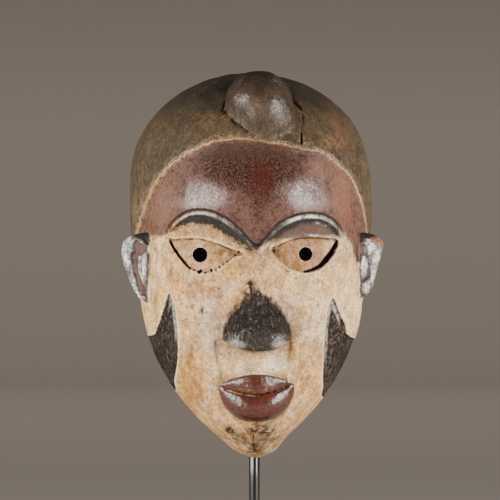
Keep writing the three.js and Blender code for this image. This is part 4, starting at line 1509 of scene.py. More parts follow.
@dataclass(frozen=True)
class PaintedFace:
    """The outside of the mask: pale clay, red-brown forehead, dark features and a brown cap, all worn, with
    painted light and shade.
    """

    clay: Colour = linear(255, 207, 142)
    clay_warm: Colour = linear(224, 176, 116)
    clay_grey: Colour = linear(212, 192, 166)
    clay_bright: Colour = linear(255, 234, 196)
    clay_brown: Colour = linear(150, 114, 78)
    # This dark brown is real grime in the specks, and painted shade in hollows and under the upper lids.
    grime_and_shade: Colour = linear(84, 60, 42)
    bare: Colour = linear(192, 146, 92)
    red: Colour = linear(62, 34, 27)
    red_core: Colour = linear(78, 24, 17)
    red_film: Colour = linear(114, 82, 73)
    salmon: Colour = linear(128, 96, 82)
    umber: Colour = linear(56, 46, 38)
    umber_light: Colour = linear(74, 57, 47)
    black: Colour = linear(14, 12, 11)
    black_brown: Colour = linear(52, 39, 31)
    lip: Colour = linear(86, 37, 27)
    rubbed: Colour = linear(112, 94, 76)
    # A silvery grey that stands partly for rubbed paint and partly for painted highlight.
    silver_sheen: Colour = linear(176, 168, 162)
    # A near white that stands for painted highlight.
    painted_highlight: Colour = linear(236, 230, 224)
    tan: Colour = linear(178, 136, 86)
    brow_mauve: Colour = linear(116, 88, 78)
    cap: Colour = linear(80, 67, 51)
    cap_dark: Colour = linear(52, 43, 32)
    cap_warm: Colour = linear(88, 73, 56)
    cap_light: Colour = linear(128, 110, 88)
    knot: Colour = linear(74, 60, 52)
    # Painted shade for slits, pits and cracks.
    groove_shade_brown: Colour = linear(62, 36, 22)
    groove_shade_black: Colour = linear(10, 8, 7)
    shaded: Colour = (0.8, 0.78, 0.76)
    lit: Colour = (1.14, 1.14, 1.14)
    stained: Colour = (0.76, 0.7, 0.62)
    chalky: Colour = (1.18, 1.18, 1.16)
    coat_roughness: float = 0.17
    coat_ior: float = 1.7
    specular: float = 0.15
    clay_stain_and_light_strength: float = 0.72
    grime_spots: Rows = (
        (230.0, 0.37, 0.7), (360.0, 0.37, 0.8), (900.0, 0.41, 0.7))
    smudge: Colour = (56, 46, 38)
    smudges: Rows = (
        (6, 21, 12, 5, 1.0), (-16, 20, 7, 5, 1.0), (-8, 14, 9, 5, 0.7), (18, 12, 8, 6, 0.5),
        (-35.8, 109, 3.4, 4.2, 1.0), (-44, 112, 2.2, 3.0, 0.7), (-30, 124, 7, 4, 0.5), (2, 7, 8, 8, 0.7),
        (-19, 152.5, 9, 3.5, 0.6), (20, 152, 6, 5, 0.3), (-4, 121, 4, 6, 0.8), (-2, 124, 3, 7, 0.6),
        (-1.5, 128, 4.5, 6, 1.0), (0.5, 122, 10, 5, 0.6), (-45, 77, 3, 4, 0.5))
    clay_stains_and_light: StainsAndLight = (
        # Painted light: (4, 68) and (18, 71) lighten the sunk panel under the nose, and (78, 116) and (66,
        # 112) the face's right edge.
        (-16, 139, 10, 10, 1.0, (192, 142, 58)), (4, 63.2, 18, 3.4, 1.3, (146, 128, 96)),
        (-17, 127, 12, 5, 1.0, (216, 212, 202)), (-6, 138, 6, 16, 0.8, (164, 124, 88)),
        (-33, 130, 16, 7, 0.7, (196, 142, 84)), (-30, 96, 13, 28, 0.9, (226, 208, 196)),
        (-46, 54, 14, 36, 1.2, (190, 136, 68)), (-32, 124, 20, 11, 0.8, (186, 134, 88)),
        (26, 112, 11, 24, 0.8, (216, 190, 178)), (46, 96, 12, 26, 0.8, (248, 220, 196)),
        (-42, 168, 24, 6, 0.8, (166, 138, 106)), (-60, 122, 10, 16, 0.6, (238, 180, 116)),
        (26, 151, 13, 9, 1.0, (150, 100, 66)), (-22, 150, 12, 6, 0.9, (146, 108, 80)),
        (-38, 143, 9, 5, 0.9, (248, 208, 156)), (-52, 156, 9, 6, 0.7, (190, 156, 130)),
        (34, 143, 12, 5, 0.9, (176, 122, 80)), (50, 153, 9, 7, 0.5, (214, 174, 132)),
        (52, 52, 15, 34, 1.0, (226, 170, 102)), (4, 68, 30, 12, 1.0, (255, 236, 198)),
        (-20, 64, 9, 13, 0.6, (212, 186, 142)), (-32, 14, 16, 14, 1.1, (184, 134, 72)),
        (-28, 32, 12, 14, 0.7, (206, 160, 108)), (40, 22, 13, 20, 0.9, (208, 158, 96)),
        (4, 16, 26, 12, 1.1, (110, 94, 78)), (40, 150, 24, 14, 1.0, (156, 120, 90)),
        (64, 132, 12, 26, 0.8, (246, 196, 142)), (0, 130, 15, 16, 0.8, (188, 154, 118)),
        (18, 71, 14, 10, 0.8, (255, 240, 210)), (78, 116, 9, 18, 1.0, (255, 224, 176)),
        (66, 112, 12, 26, 0.8, (255, 224, 180)))
    red_stains_and_sheen: StainsAndLight = (
        (68, 194, 9, 26, 0.6, (152, 104, 82)), (72, 182, 4, 12, 0.4, (160, 92, 66)),
        (50, 216, 16, 7, 0.5, (134, 90, 70)), (-66, 186, 11, 20, 0.5, (148, 114, 98)),
        # Painted highlight: the four entries on this line and the next lay pale crescents of sheen over the
        # brow bosses.
        (-40, 189, 22, 6, 0.5, (168, 144, 138)), (-26, 194, 16, 8, 0.25, (156, 126, 120)),
        (44, 189, 20, 6, 0.45, (168, 142, 136)), (30, 199, 14, 8, 0.3, (156, 126, 120)))
    cap_stains_and_shade: StainsAndLight = (
        (23.3, 273.8, 5, 5, 0.9, (140, 98, 66)), (-18.4, 253, 4, 3, 0.8, (150, 108, 72)),
        (60, 234, 12, 6, 0.6, (142, 110, 78)), (64, 240, 12, 20, 0.55, (116, 84, 60)),
        (-72, 214, 10, 30, 0.5, (88, 78, 68)), (-83, 184, 7, 14, 0.6, (152, 126, 96)),
        (2.8, 262, 6, 8, 0.5, (88, 70, 54)), (-32, 250, 10, 8, 0.4, (124, 100, 72)),
        (17, 277, 7, 4, 0.8, (140, 98, 68)), (-12, 275, 4, 3, 0.6, (124, 94, 70)),
        # Painted shade: the first entry on this line darkens the crown's top.
        (3, 285, 14, 7, 0.6, (40, 32, 26)), (2, 249, 6, 5, 0.5, (116, 96, 66)),
        (5, 262, 5, 12, 0.8, (50, 40, 32)), (26, 250, 8, 7, 0.6, (48, 38, 32)),
        (-66, 205, 10, 30, 0.3, (70, 60, 48)))

    def clay_paint(self, s: FaceFinish) -> Paint:
        """Pale clay, cloudy at every size, with painted shade in hollows and painted light on rises and
        towards the right, and its stained spots.

        Args:
            s: The node tree.

        Returns:
            The colour.
        """
        broad = s.value("broad")
        scuffs = s.cloud(120.0, 5.0, 0.7, (1.0, 1.0, 0.7))
        colour = s.layers(
            self.clay,
            (s.clouds, 0.42, 0.6, 1.0, self.clay_warm),
            # Painted light: the clay lightens towards the drawing's right.
            (s.across, 25.0, 75.0, 0.45, self.clay_bright),
            (s.patches, 0.48, 0.6, 0.75, self.clay_grey),
            # Painted shade in broad hollows, and painted light on broad rises.
            (broad, -0.1, -1.6, 0.45, self.clay_brown),
            (broad, 0.1, 1.4, 0.35, self.clay_bright),
            # Painted shade in small hollows and creases.
            (s.value("edge"), -0.05, -0.45, 0.3, self.grime_and_shade),
            (s.streaks, 0.48, 0.62, 0.35, self.clay_warm),
            (s.fibres, 0.5, 0.64, 0.42, self.clay_brown),
            (s.fine, 0.5, 0.66, 0.42, self.clay_brown),
            (s.fine, 0.48, 0.32, 0.35, self.clay_bright),
            (s.grit, 0.5, 0.64, 0.45, self.clay_brown),
            (s.grit, 0.48, 0.34, 0.3, self.clay_bright),
            (scuffs, 0.53, 0.66, 0.45, self.clay_brown),
            (scuffs, 0.46, 0.34, 0.4, self.clay_bright))
        broken = s.times(s.step(s.patches, 0.36, 0.54, 0.5, 1.0), s.step(s.fine, 0.34, 0.6, 0.7, 1.0))
        colour = s.stains_and_light(colour, self.clay_stains_and_light, s.times(broken, self.clay_stain_and_light_strength))
        mottle = s.step(s.cloud(150.0, 5.0, 0.72, (1.0, 1.0, 0.7)), 0.38, 0.62)
        colour = s.mix(1.0, colour, s.mix(mottle, self.stained, self.chalky), "MULTIPLY")
        for scale, amount, share in self.grime_spots:
            colour = s.over(colour, self.grime_and_shade, s.effect(SPECKLE, Scale=scale, Amount=amount), share)
        return colour

    def lid_paint(self, s: FaceFinish, colour: Paint) -> Paint:
        """Painted highlights and painted shade along the lids, each a band beside the eye's outline, and
        smudges.

        Args:
            s: The node tree.
            colour: The colour beneath.

        Returns:
            The colour with them.
        """
        lid = s.value("eye")
        bright_grain = s.step(s.fine, 0.42, 0.56, 0.1, 0.6)
        dark_grain = s.step(s.fine, 0.42, 0.54, 0.25, 0.95)
        upper_more = s.step(s.up, 152.0, 156.0, 0.3, 1.0)
        lower, upper = s.step(s.up, 152.0, 148.0), s.step(s.up, 152.0, 155.0)
        # Painted highlight along the lower lid and above the upper lid, and painted shade under the upper
        # lid's fold.
        colour = s.over(colour, self.clay_bright, s.near(lid, -0.8, 0.9, 0.2), lower, bright_grain)
        colour = s.over(colour, self.grime_and_shade, s.near(lid, 0.3, 0.9, 0.3), upper_more, dark_grain)
        colour = s.over(colour, self.clay_bright, s.near(lid, -1.3, 1.0, 0.3), upper, bright_grain)
        smudges = tuple((*row, self.smudge) for row in self.smudges)
        return s.stains_and_light(colour, smudges, s.step(s.fine, 0.4, 0.54, 0.1, 1.0))

    def forehead_paint(self, s: FaceFinish) -> Paint:
        """A thin red-brown film, with a deeper peppered centre that reddens at its core and turns umber
        upwards.

        Args:
            s: The node tree.

        Returns:
            The colour.
        """
        film = s.layers(
            self.red_film,
            (s.beside, 44.0, 76.0, 1.0, self.salmon),
            (s.fine, 0.48, 0.6, 0.5, self.red),
            (s.grit, 0.5, 0.62, 0.55, self.umber),
            (s.pepper, 0.52, 0.62, 0.45, self.red))
        film = s.stains_and_light(film, self.red_stains_and_sheen, s.step(s.fine, 0.36, 0.52, 0.3, 1.0))
        deep = s.layers(
            self.red,
            (s.grit, 0.46, 0.62, 0.7, self.red_film),
            (s.fine, 0.5, 0.6, 0.4, self.umber),
            (s.pepper, 0.46, 0.6, 0.65, self.black),
            (s.pepper, 0.47, 0.37, 0.35, self.salmon))
        deep = s.over(deep, self.red_core, s.spot(8, 206, 11, 15), s.step(s.grit, 0.44, 0.56, 0.3, 0.8))
        deep = s.layers(deep, (s.up, 216.0, 232.0, 0.7, self.umber_light))
        return s.mix(s.inside("centre", 24.0, 8.0, 0.0, 260.0), film, deep)

    def dark_paint(self, s: FaceFinish, colour: Paint) -> Paint:
        """The black of brows, nose and cheek patches, rubbed and scratched, with painted highlights on the
        nose's base and the patches' front edges and painted shade deep in the patches.

        Args:
            s: The node tree.
            colour: The colour beneath.

        Returns:
            The colour with it.
        """
        rough_paint = s.highest(s.nose, s.patch)
        dark = s.layers(self.black, (s.fine, 0.46, 0.64, 0.7, self.black_brown))
        colour = s.mix(s.highest(s.brow, rough_paint), colour, dark)
        patch_rub = s.step(s.across, 0.0, 20.0, 0.5, 0.85)
        rubbed = s.blend(s.nose, patch_rub, s.step(s.up, 100.0, 84.0, 0.18, 0.4))
        colour = s.over(colour, self.rubbed, s.step(s.lumps, 0.46, 0.7), rough_paint, rubbed)
        scratches = s.step(s.cloud(700.0, 4.0, 0.75, (0.6, 1.0, 0.35)), 0.54, 0.72)
        colour = s.over(colour, self.clay_grey, scratches, rough_paint, 0.3)
        # Painted highlight: silvery spots on the nose's base.
        for nostril in (-12.5, 21.0):
            shine = s.spot(nostril, 84.0, 8.5, 3.6)
            colour = s.over(colour, self.silver_sheen, s.nose, shine, s.step(s.lumps, 0.36, 0.5, 0.3, 0.8))
        into_patch = s.value("patch")
        # Painted shade: the patches go blacker further in, towards the face's sides.
        colour = s.over(colour, self.black, s.patch, s.step(into_patch, 7.0, 16.0, 0.0, 0.6))
        # Painted highlight: a silvery streak along the upper part of each patch's front edge.
        front_edge = s.times(s.near(into_patch, 1.9, 1.9, 0.3), s.step(s.beside, 66.0, 63.0))
        rising = s.step(s.up, s.step(s.across, -10.0, 10.0, 80.0, 58.0), 98.0)
        worn = s.step(s.lumps, 0.36, 0.56, 0.2, 1.0)
        return s.over(colour, self.silver_sheen, s.patch, front_edge, rising, worn)

    def brow_paint(self, s: FaceFinish, colour: Paint) -> Paint:
        """The brows' worn lower edge, the right one's mauve, a roll of rubbed paint and painted highlight,
        and painted lines of shade and light.

        Args:
            s: The node tree.
            colour: The colour beneath.

        Returns:
            The colour with them.
        """
        above = s.value("red")
        from_top = s.times(above, -1.0)
        low_left = s.times(s.step(s.value("brow"), 1.4, 0.1), s.step(s.across, 4.0, -12.0))
        colour = s.over(colour, self.clay_brown, s.brow, s.step(s.fine, 0.44, 0.56), low_left, 0.6)
        low_right = s.times(s.step(from_top, 6.0, 11.0, 0.0, 0.9), s.step(s.across, 8.0, 20.0))
        colour = s.over(colour, self.brow_mauve, s.brow, low_right, s.step(s.grit, 0.6, 0.45, 0.6, 1.0))
        # The roll along each brow's top is partly rubbed paint and partly painted highlight, whiter on the
        # right brow.
        silver_sheen = s.layers(self.silver_sheen, (s.across, -46.0, -58.0, 1.0, self.tan))
        silver_sheen = s.over(silver_sheen, self.painted_highlight, s.step(s.across, 14.0, 26.0), s.step(s.across, 58.0, 44.0))
        roll = s.times(s.brow, s.near(from_top, 2.4, 2.3, 0.5), s.step(s.beside, 10.0, 26.0, 0.15, 1.0))
        worn_off = s.times(s.step(s.streaks, 0.4, 0.54, 0.25, 0.9), s.step(s.grit, 0.6, 0.5, 0.3, 1.0))
        colour = s.over(colour, silver_sheen, roll, worn_off)
        # Painted shadow: a dark line along the brows' upper edge.
        line = s.times(s.near(above, 0.3, 1.2, 0.3), s.inside("brow", 1.0, 0.4, 0.5))
        colour = s.over(colour, self.black_brown, line, 0.8)
        # A pale line round the cheek patches, partly worn clay and partly painted highlight.
        border = s.times(s.inside("patch", 0.8, 0.4, 1.5), s.rest(s.patch))
        return s.over(colour, self.clay_bright, border, s.step(s.fine, 0.42, 0.58, 0.15, 0.7))

    def lip_paint(self, s: FaceFinish, colour: Paint) -> Paint:
        """Red-brown lips with pale wrinkles, a darker outline and slit, and a worn line under the slit.

        Args:
            s: The node tree.
            colour: The colour beneath.

        Returns:
            The colour with them.
        """
        lip = s.layers(
            self.lip, (s.fine, 0.46, 0.64, 0.7, self.black_brown), (s.grit, 0.56, 0.68, 0.15, self.tan))
        wrinkles = s.step(s.cloud(330.0, 4.0, 0.65, (0.25, 1.0, 1.0)), 0.52, 0.64, 0.0, 0.5)
        lip = s.over(lip, self.tan, wrinkles, s.spot(4, 52, 17, 8))
        lip = s.layers(lip, (s.value("lips"), 2.6, 0.4, 0.5, self.black_brown))
        colour = s.mix(s.lips, colour, lip)
        slit = s.value("slit")
        colour = s.over(colour, self.black, s.near(slit, -0.2, 0.9, 0.2), s.lips, 0.35)
        worn = s.times(s.near(slit, 0.8, 0.6, 0.2), s.step(s.across, 8.0, 0.0), s.step(s.fine, 0.42, 0.54))
        return s.over(colour, self.clay_warm, worn, s.lips, 0.7)

    def cap_paint(self, s: FaceFinish, colour: Paint) -> Paint:
        """The brown cap and knot, with painted shade towards the crown, painted light on its sides, stained
        spots, and the clay along the hairline with painted sheen on its rim.

        Args:
            s: The node tree.
            colour: The colour beneath.

        Returns:
            The colour with them.
        """
        cap = s.layers(
            self.cap,
            (s.clouds, 0.4, 0.6, 1.0, self.cap_warm),
            (s.patches, 0.44, 0.62, 0.5, self.cap_dark),
            (s.fine, 0.5, 0.68, 0.4, self.cap_light),
            (s.fibres, 0.5, 0.66, 0.22, self.cap_light),
            (s.grit, 0.5, 0.64, 0.6, self.cap_dark))
        cap = s.over(cap, self.knot, s.knot, 0.6)
        cap = s.over(cap, self.cap_dark, s.knot, s.step(s.patches, 0.44, 0.58), 0.5)
        # Painted shade: the cap blackens towards the crown.
        cap = s.layers(cap, (s.up, 246.0, 278.0, 0.7, self.black))
        cap = s.over(cap, self.bare, s.effect(SPECKLE, Scale=90.0, Amount=0.34), 0.15)
        cap = s.stains_and_light(cap, self.cap_stains_and_shade, s.step(s.fine, 0.4, 0.54))
        # Painted light on the cap's sides, stronger towards the drawing's right.
        side = s.times(s.step(s.beside, 62.0, 90.0), s.step(s.across, -40.0, 40.0, 0.3, 1.0))
        cap = s.over(cap, self.cap_light, side, s.step(s.fine, 0.42, 0.6, 0.05, 0.35))
        colour = s.mix(s.hair, colour, cap)
        # The pale grey rim is partly worn paint and partly painted sheen.
        patchy_rim = s.times(s.step(s.grit, 0.46, 0.62, 0.0, 0.5), s.step(s.patches, 0.4, 0.58, 0.2, 1.0))
        colour = s.over(colour, self.clay_grey, s.rim, patchy_rim, s.step(s.across, 12.0, 44.0, 1.0, 0.45))
        line = s.times(s.inside("hair", 0.9, 0.25, 0.9), s.rest(s.inside("hair", 0.5, 0.2, 0.05)))
        patchy_line = s.times(s.step(s.patches, 0.42, 0.54, 0.2, 0.9), s.step(s.fine, 0.58, 0.46, 0.2, 1.0))
        return s.over(colour, self.bare, line, patchy_line, s.step(s.across, 24.0, -4.0, 0.25, 1.0))

    def wear(self, s: FaceFinish, colour: Paint) -> Paint:
        """Rubbed edges, painted shade in slits, pits and cracks, and the sandy light and shade over
        everything.

        Args:
            s: The node tree.
            colour: The colour beneath.

        Returns:
            The finished colour.
        """
        sharp = s.times(s.step(s.value("edge"), 0.05, 0.4), s.rest(s.knot))
        rubbed = s.times(sharp, s.highest(s.patch, s.hair), s.step(s.fine, 0.48, 0.6))
        colour = s.over(colour, self.bare, rubbed, 0.2)
        # Painted shade in slits, pits and cracks, browner at their edges.
        slot = s.math("ADD", s.value("dark"), s.times(s.math("SUBTRACT", s.fine, 0.55), 1.2))
        colour = s.layers(colour, (slot, 0.05, 0.4, 1.0, self.groove_shade_brown), (slot, 0.35, 0.8, 1.0, self.groove_shade_black))
        return s.mix(1.0, colour, s.mix(s.step(s.sand, 0.36, 0.64), self.shaded, self.lit), "MULTIPLY")

    def gloss(self, s: FaceFinish) -> tuple[Socket, Socket]:
        """Where the paint shines: lips, brows, the nose's base, and rubbed places on forehead and knot.

        Args:
            s: The node tree.

        Returns:
            The coat's weight and the roughness beneath it.
        """
        knot_shine = s.highest(s.spot(-7.5, 260.0, 8.0, 10.0), s.spot(18.8, 259.0, 9.5, 15.0))
        smooth = s.highest(s.lips, s.red, s.times(s.knot, s.blend(knot_shine, 0.1, 1.0)), s.brow)
        nose_base = s.times(s.nose, s.step(s.up, 94.0, 88.0, 0.12, 1.0))
        cores = s.highest(s.spot(-38, 195, 19, 12), s.spot(40, 197, 19, 13))
        around = s.highest(s.spot(-24, 190, 34, 14), s.spot(32, 192, 30, 16))
        red_gloss = s.math("ADD", s.blend(cores, 0.12, 0.8), s.times(around, 0.36), True)
        red_gloss = s.times(red_gloss, s.step(s.pepper, 0.6, 0.46, 0.4, 1.0))
        coat = s.highest(nose_base, s.times(s.patch, 0.3), s.times(smooth, s.blend(s.red, 1.0, red_gloss)),
                         s.times(s.hair, 0.2), s.times(s.rim, s.hair, 0.4))
        rough = s.blend(s.highest(smooth, nose_base), s.blend(s.hair, 0.85, 0.62), 0.45)
        uneven = s.times(s.math("SUBTRACT", s.fine, 0.5), 0.4)
        return s.times(coat, s.step(s.sand, 0.36, 0.6, 0.5, 1.0)), s.math("ADD", rough, uneven, True)

    def relief(self, s: FaceFinish) -> tuple[Socket, Socket]:
        """Tool marks, grain and grit, and the smoother skin of the coat, which is rugged on dark paint.

        Args:
            s: The node tree.

        Returns:
            The surface's normal and the coat's.
        """
        tool_marks = s.cloud(85.0, 2.0, 0.5, (1.0, 1.0, 0.4))
        grain = s.effect(WOOD_GRAIN, Scale=420.0)
        normal = s.bumps(
            (tool_marks, 0.004, 0.4), (grain, 0.0006, 0.35), (s.fine, 0.001, 0.4), (s.grit, 0.0004, 0.7))
        rugged_nose = s.times(s.step(s.value("nose"), 0.0, 2.0), s.step(s.up, 86.0, 94.0, 0.2, 1.0))
        rugged_patch = s.step(s.value("patch"), 0.0, 1.0)
        rugged = s.highest(rugged_nose, rugged_patch, s.step(s.value("red"), 0.0, 2.0, 0.22, 0.4))
        waves = s.cloud(105.0, 2.0, 0.5, (1.0, 1.0, 0.7))
        lumpy = s.times(s.cloud(480.0, 3.0, 0.6), rugged)
        skin = s.bumps(
            (waves, 0.003, 0.5), (lumpy, 0.0014, 1.0), (s.fine, 0.0004, 0.5), (s.grit, 0.0002, 0.5))
        return normal, skin

    def material(self) -> bpy.types.Material:
        """Builds the layers from the clay upwards, with their gloss and relief.

        Returns:
            The material.
        """
        s = FaceFinish("painted_face")
        colour = self.lid_paint(s, self.clay_paint(s))
        colour = s.mix(s.red, colour, self.forehead_paint(s))
        for layer in (self.dark_paint, self.brow_paint, self.lip_paint, self.cap_paint, self.wear):
            colour = layer(s, colour)
        coat, rough = self.gloss(s)
        normal, skin = self.relief(s)
        return s.shade({
            "Base Color": colour, "Roughness": rough, "Coat Weight": coat, "Normal": normal,
            "Coat Normal": skin, "Coat Roughness": self.coat_roughness, "Coat IOR": self.coat_ior,
            "Specular IOR Level": self.specular})


@dataclass(frozen=True)
class BareWood:
    """The hollow and the back edge: bare wood gone brown, with adze marks and darker clouds."""

    wood: Colour = linear(120, 88, 58)
    dark: Colour = linear(66, 46, 32)
    light: Colour = linear(164, 126, 84)

    def material(self) -> bpy.types.Material:
        """Mixes three browns along the grain, over the chips that the adze left.

        Returns:
            The material.
        """
        s = Finish("bare_wood")
        grain = s.effect(WOOD_GRAIN, Scale=260.0)
        clouds = s.cloud(22.0, 5.0, 0.6)
        colour = s.layers(
            self.wood, (clouds, 0.35, 0.65, 1.0, self.dark), (grain, 0.52, 0.68, 0.6, self.light))
        cells = {"Vector": s.at, "Scale": 70.0}
        chips = s.add("ShaderNodeTexVoronoi", cells, feature="SMOOTH_F1").outputs["Distance"]
        normal = s.bumps((grain, 0.0012, 0.6), (chips, 0.003, 0.5))
        rough = s.step(grain, 0.3, 0.7, 0.65, 0.9)
        return s.shade({"Base Color": colour, "Roughness": rough, "Normal": normal})


@dataclass(frozen=True)
class EarPaint:
    """The ears: dark paint rubbed to silvery grey with painted highlight on the rolls, mauve-brown valleys,
    a dark top and a bare corner.
    """

    grey: Colour = linear(126, 120, 114)
    silver_sheen: Colour = linear(240, 234, 232)
    dark: Colour = linear(40, 36, 34)
    scraped: Colour = linear(104, 92, 92)
    valley: Colour = linear(108, 76, 66)
    shade: Colour = linear(22, 18, 14)
    bare: Colour = linear(150, 96, 62)
    clay: Colour = linear(238, 212, 176)
    coat_roughness: float = 0.22
    coat_ior: float = 1.8
    specular: float = 0.3

    def material(self) -> bpy.types.Material:
        """Grey with silvery streaks of rubbed paint and painted highlight and dark flecks, mauve-brown in
        the valley, dark above, bare at the chip.

        Returns:
            The material.
        """
        s = Finish("ear_paint")
        fine, grit = s.cloud(260.0, 5.0, 0.65), s.cloud(620.0, 3.0, 0.7)
        streaks = s.cloud(210.0, 5.0, 0.7, (1.0, 1.0, 0.4))
        scrapes = s.cloud(340.0, 4.0, 0.7, (1.0, 1.0, 0.6))
        distance, dark_top = s.value("valley"), s.value("shade")
        # Painted highlight: the silvery streaks grow on the raised rolls, away from the valley's edge.
        rubbed = s.math("ADD", streaks, s.step(distance, -0.2, -2.2, -0.07, 0.05))
        flecks = s.math("ADD", grit, s.step(fine, 0.4, 0.6, 0.05, -0.06))
        colour = s.layers(
            self.grey,
            (rubbed, 0.45, 0.56, 1.0, self.silver_sheen),
            (scrapes, 0.48, 0.58, 0.85, self.scraped),
            (flecks, 0.54, 0.6, 0.85, self.dark))
        valley = s.area(distance, 1.0, 0.3, 420.0)
        floor = s.layers(
            self.valley, (fine, 0.46, 0.62, 0.6, self.dark), (s.value("inner"), -1.0, 1.0, 1.0, self.clay))
        colour = s.mix(valley, colour, floor)
        outline = s.near(distance, -0.1, 0.8, 0.1)
        colour = s.over(colour, self.dark, outline, s.step(fine, 0.44, 0.56, 0.1, 0.8))
        colour = s.over(colour, self.bare, s.value("chip"), s.step(grit, 0.35, 0.55, 0.4, 1.0))
        colour = s.layers(colour, (dark_top, 0.2, 0.7, 0.95, self.shade), (grit, 0.54, 0.64, 0.5, self.dark))
        grain = s.effect(WOOD_GRAIN, Scale=420.0)
        coat = s.times(s.rest(valley), s.step(dark_top, 0.7, 0.2), s.step(scrapes, 0.6, 0.44, 0.2, 1.0))
        return s.shade({
            "Base Color": colour, "Roughness": s.step(fine, 0.3, 0.7, 0.4, 0.6), "Coat Weight": coat,
            "Normal": s.bumps((grain, 0.0008, 0.4), (fine, 0.0014, 0.5)),
            "Coat Normal": s.bumps((streaks, 0.0016, 0.8)), "Coat Roughness": self.coat_roughness,
            "Coat IOR": self.coat_ior, "Specular IOR Level": self.specular})


@dataclass(frozen=True)
class BlackSteel:
    """The stand's finish: satin black with a faint brushed unevenness."""

    name: str = Slot.STEEL.value
    colour: Colour = linear(9, 9, 10)
    lighter: float = 1.7
    roughness: float = 0.3
    coat_roughness: float = 0.04
    coat_ior: float = 1.62
    specular: float = 0.15

    def material(self) -> bpy.types.Material:
        """A dark coat over metal, with slightly uneven gloss.

        Returns:
            The material.
        """
        s = Finish(self.name)
        cloud, fine = s.cloud(90.0, 5.0, 0.6), s.cloud(900.0, 3.0, 0.6)
        lighter = tuple(self.lighter * c for c in self.colour)
        colour = s.layers(self.colour, (cloud, 0.35, 0.7, 1.0, lighter))
        uneven = s.step(cloud, 0.3, 0.7, self.roughness - 0.05, self.roughness + 0.08)
        return s.shade({
            "Base Color": colour, "Roughness": s.math("ADD", uneven, s.times(fine, 0.04)),
            "Normal": s.bumps((fine, 0.0002, 0.35)), "Coat Weight": 1.0,
            "Coat Roughness": self.coat_roughness, "Coat IOR": self.coat_ior,
            "Specular IOR Level": self.specular})


@dataclass
class Stand:
    """The foot, the rod and the bent strap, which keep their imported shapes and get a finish."""

    finish: BlackSteel = field(default_factory=BlackSteel)
    nodes: tuple[str, ...] = ("stand_base", "stand_rod", "cradle", "cross_bar")

    def build(self) -> None:
        """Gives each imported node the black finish."""
        material = self.finish.material()
        for name in self.nodes:
            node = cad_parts[name]
            node.data.materials.clear()
            node.data.materials.append(material)
            LOG.info("%s keeps its packed shape", name)


@dataclass(frozen=True)
class Lamp:
    """A flat lamp that the camera doesn't see: its width and height in metres, its watts and its colour."""

    size: tuple[float, float]
    power: float
    colour: Colour

    def hang(self, name: str, at: tuple[float, float, float], towards: tuple[float, float, float]) -> None:
        """Hangs the lamp.

        Args:
            name: Its name.
            at: Where it hangs, in metres.
            towards: What it looks at.
        """
        data = bpy.data.lights.new(name, "AREA")
        data.shape, data.size, data.size_y = "RECTANGLE", *self.size
        data.energy, data.color = self.power, self.colour
        lamp = bpy.data.objects.new(name, data)
        bpy.context.scene.collection.objects.link(lamp)
        lamp.location = at
        lamp.rotation_euler = (Vector(towards) - lamp.location).to_track_quat("-Z", "Y").to_euler()
        lamp.visible_camera = False


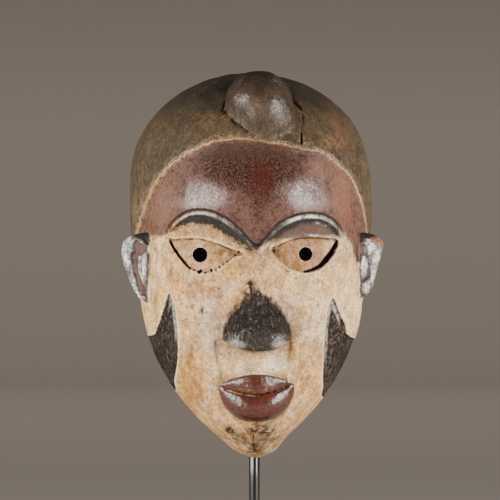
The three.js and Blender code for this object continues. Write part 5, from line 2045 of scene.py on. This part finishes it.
@dataclass
class Studio:
    """A pale round floor that turns into a warm grey bowl, two soft boxes and the camera."""

    floor_radius: float = 4.4
    wall_radius: float = 1.6
    wall_height: float = 3.4
    around: int = 96
    box: Lamp = Lamp((0.95, 1.1), 46.0, (1.0, 0.96, 0.91))
    box_azimuths: tuple[tuple[str, float], ...] = (("box_left", -58.0), ("box_right", 56.0))
    box_distance: float = 1.5
    box_height: float = 0.34
    wall_lamp: Lamp = Lamp((1.2, 1.2), 35.0, (1.0, 0.96, 0.92))
    surround: Colour = (1.0, 0.97, 0.93)
    surround_strength: float = 0.05
    pale: Colour = linear(222, 215, 206)
    wall: Colour = linear(172, 162, 152)
    wall_top_shade: Colour = linear(146, 138, 130)

    def stage(self) -> None:
        """The floor: a profile of flat, quarter round and upright wall, turned about the middle."""
        flat = np.stack([np.linspace(0.02, self.floor_radius, 40), np.zeros(40)], -1)
        turn = np.linspace(0, math.pi / 2, 24)[1:]
        out, up = self.wall_radius * np.sin(turn), self.wall_radius * (1 - np.cos(turn))
        bend = np.stack([self.floor_radius + out, up], -1)
        upright = np.array([[self.floor_radius + self.wall_radius, self.wall_radius + self.wall_height]])
        profile = np.concatenate([flat, bend, upright])
        turns = np.linspace(0, 2 * math.pi, self.around, endpoint=False)
        radius, angle = np.meshgrid(profile[:, 0], turns, indexing="ij")
        height = np.repeat(profile[:, 1:2], self.around, axis=1)
        points = np.stack([radius * np.cos(angle), radius * np.sin(angle), height], -1).reshape(-1, 3)
        points = np.concatenate([points, [[0.0, 0.0, 0.0]]])
        ring = np.arange(self.around)
        centre = np.stack([np.full(self.around, len(points) - 1), ring, np.roll(ring, -1)], -1)
        wall = grid_faces(len(profile), self.around, wrap=True)[:, ::-1]
        floor = mesh_object("floor", points, [wall, centre])
        floor.data.materials.append(self.paper())

    def paper(self) -> bpy.types.Material:
        """The backdrop's finish: pale in the middle, greyer away from it, and darker higher up as painted
        shade.

        Returns:
            The material.
        """
        s = Finish("floor_paper")
        x, y, z = s.add("ShaderNodeSeparateXYZ", {"Vector": s.at}).outputs
        away = s.math("SQRT", s.math("ADD", s.times(x, x), s.times(y, y)))
        # Painted shade: the wall darker towards its top.
        colour = s.layers(self.pale, (away, 0.75, 1.15, 1.0, self.wall), (z, 0.45, 0.95, 0.8, self.wall_top_shade))
        return s.shade({"Base Color": colour, "Roughness": 0.95})

    def lights(self) -> None:
        """Two upright soft boxes beside the camera, two lamps on the wall behind and a dim even surround."""
        for name, azimuth in self.box_azimuths:
            angle = math.radians(azimuth)
            out, front = self.box_distance * math.sin(angle), -self.box_distance * math.cos(angle)
            self.box.hang(name, (out, front, self.box_height), (0, 0, 0.25))
        for side in (-1, 1):
            self.wall_lamp.hang(f"wall_lamp_{side}", (1.6 * side, 2.4, 3.2), (0.6 * side, 5.8, 0.2))
        world = bpy.data.worlds.new("surround")
        world.use_nodes = True
        background = world.node_tree.nodes["Background"]
        background.inputs["Color"].default_value = (*self.surround, 1.0)
        background.inputs["Strength"].default_value = self.surround_strength
        bpy.context.scene.world = world

    def camera(self) -> None:
        """The camera at the view's angle, level with the mask's middle."""
        data = bpy.data.cameras.new("camera")
        data.sensor_width = SENSOR_WIDTH
        data.lens = SENSOR_WIDTH * VIEW_DISTANCE / VIEW_WIDTH
        data.clip_start, data.clip_end = 0.1, 60.0
        camera = bpy.data.objects.new("camera", data)
        bpy.context.scene.collection.objects.link(camera)
        back = Vector((math.sin(VIEW_TURN), -math.cos(VIEW_TURN), 0.0))
        right = Vector((math.cos(VIEW_TURN), math.sin(VIEW_TURN), 0.0))
        middle = Vector((MASK_X * MM, 0, (CHIN_HEIGHT + VIEW_HEIGHT) * MM)) + right * (VIEW_SIDE * MM)
        camera.location = middle + back * (VIEW_DISTANCE * MM)
        camera.rotation_euler = (-back).to_track_quat("-Z", "Y").to_euler()
        bpy.context.scene.camera = camera

    def build(self) -> None:
        """Makes the camera, the stage and the lights."""
        self.camera()
        self.stage()
        self.lights()


def main() -> None:
    """Builds the studio, the mask and its stand."""
    Studio().build()
    Mask().build()
    Stand().build()


if __name__ == "__main__":
    main()
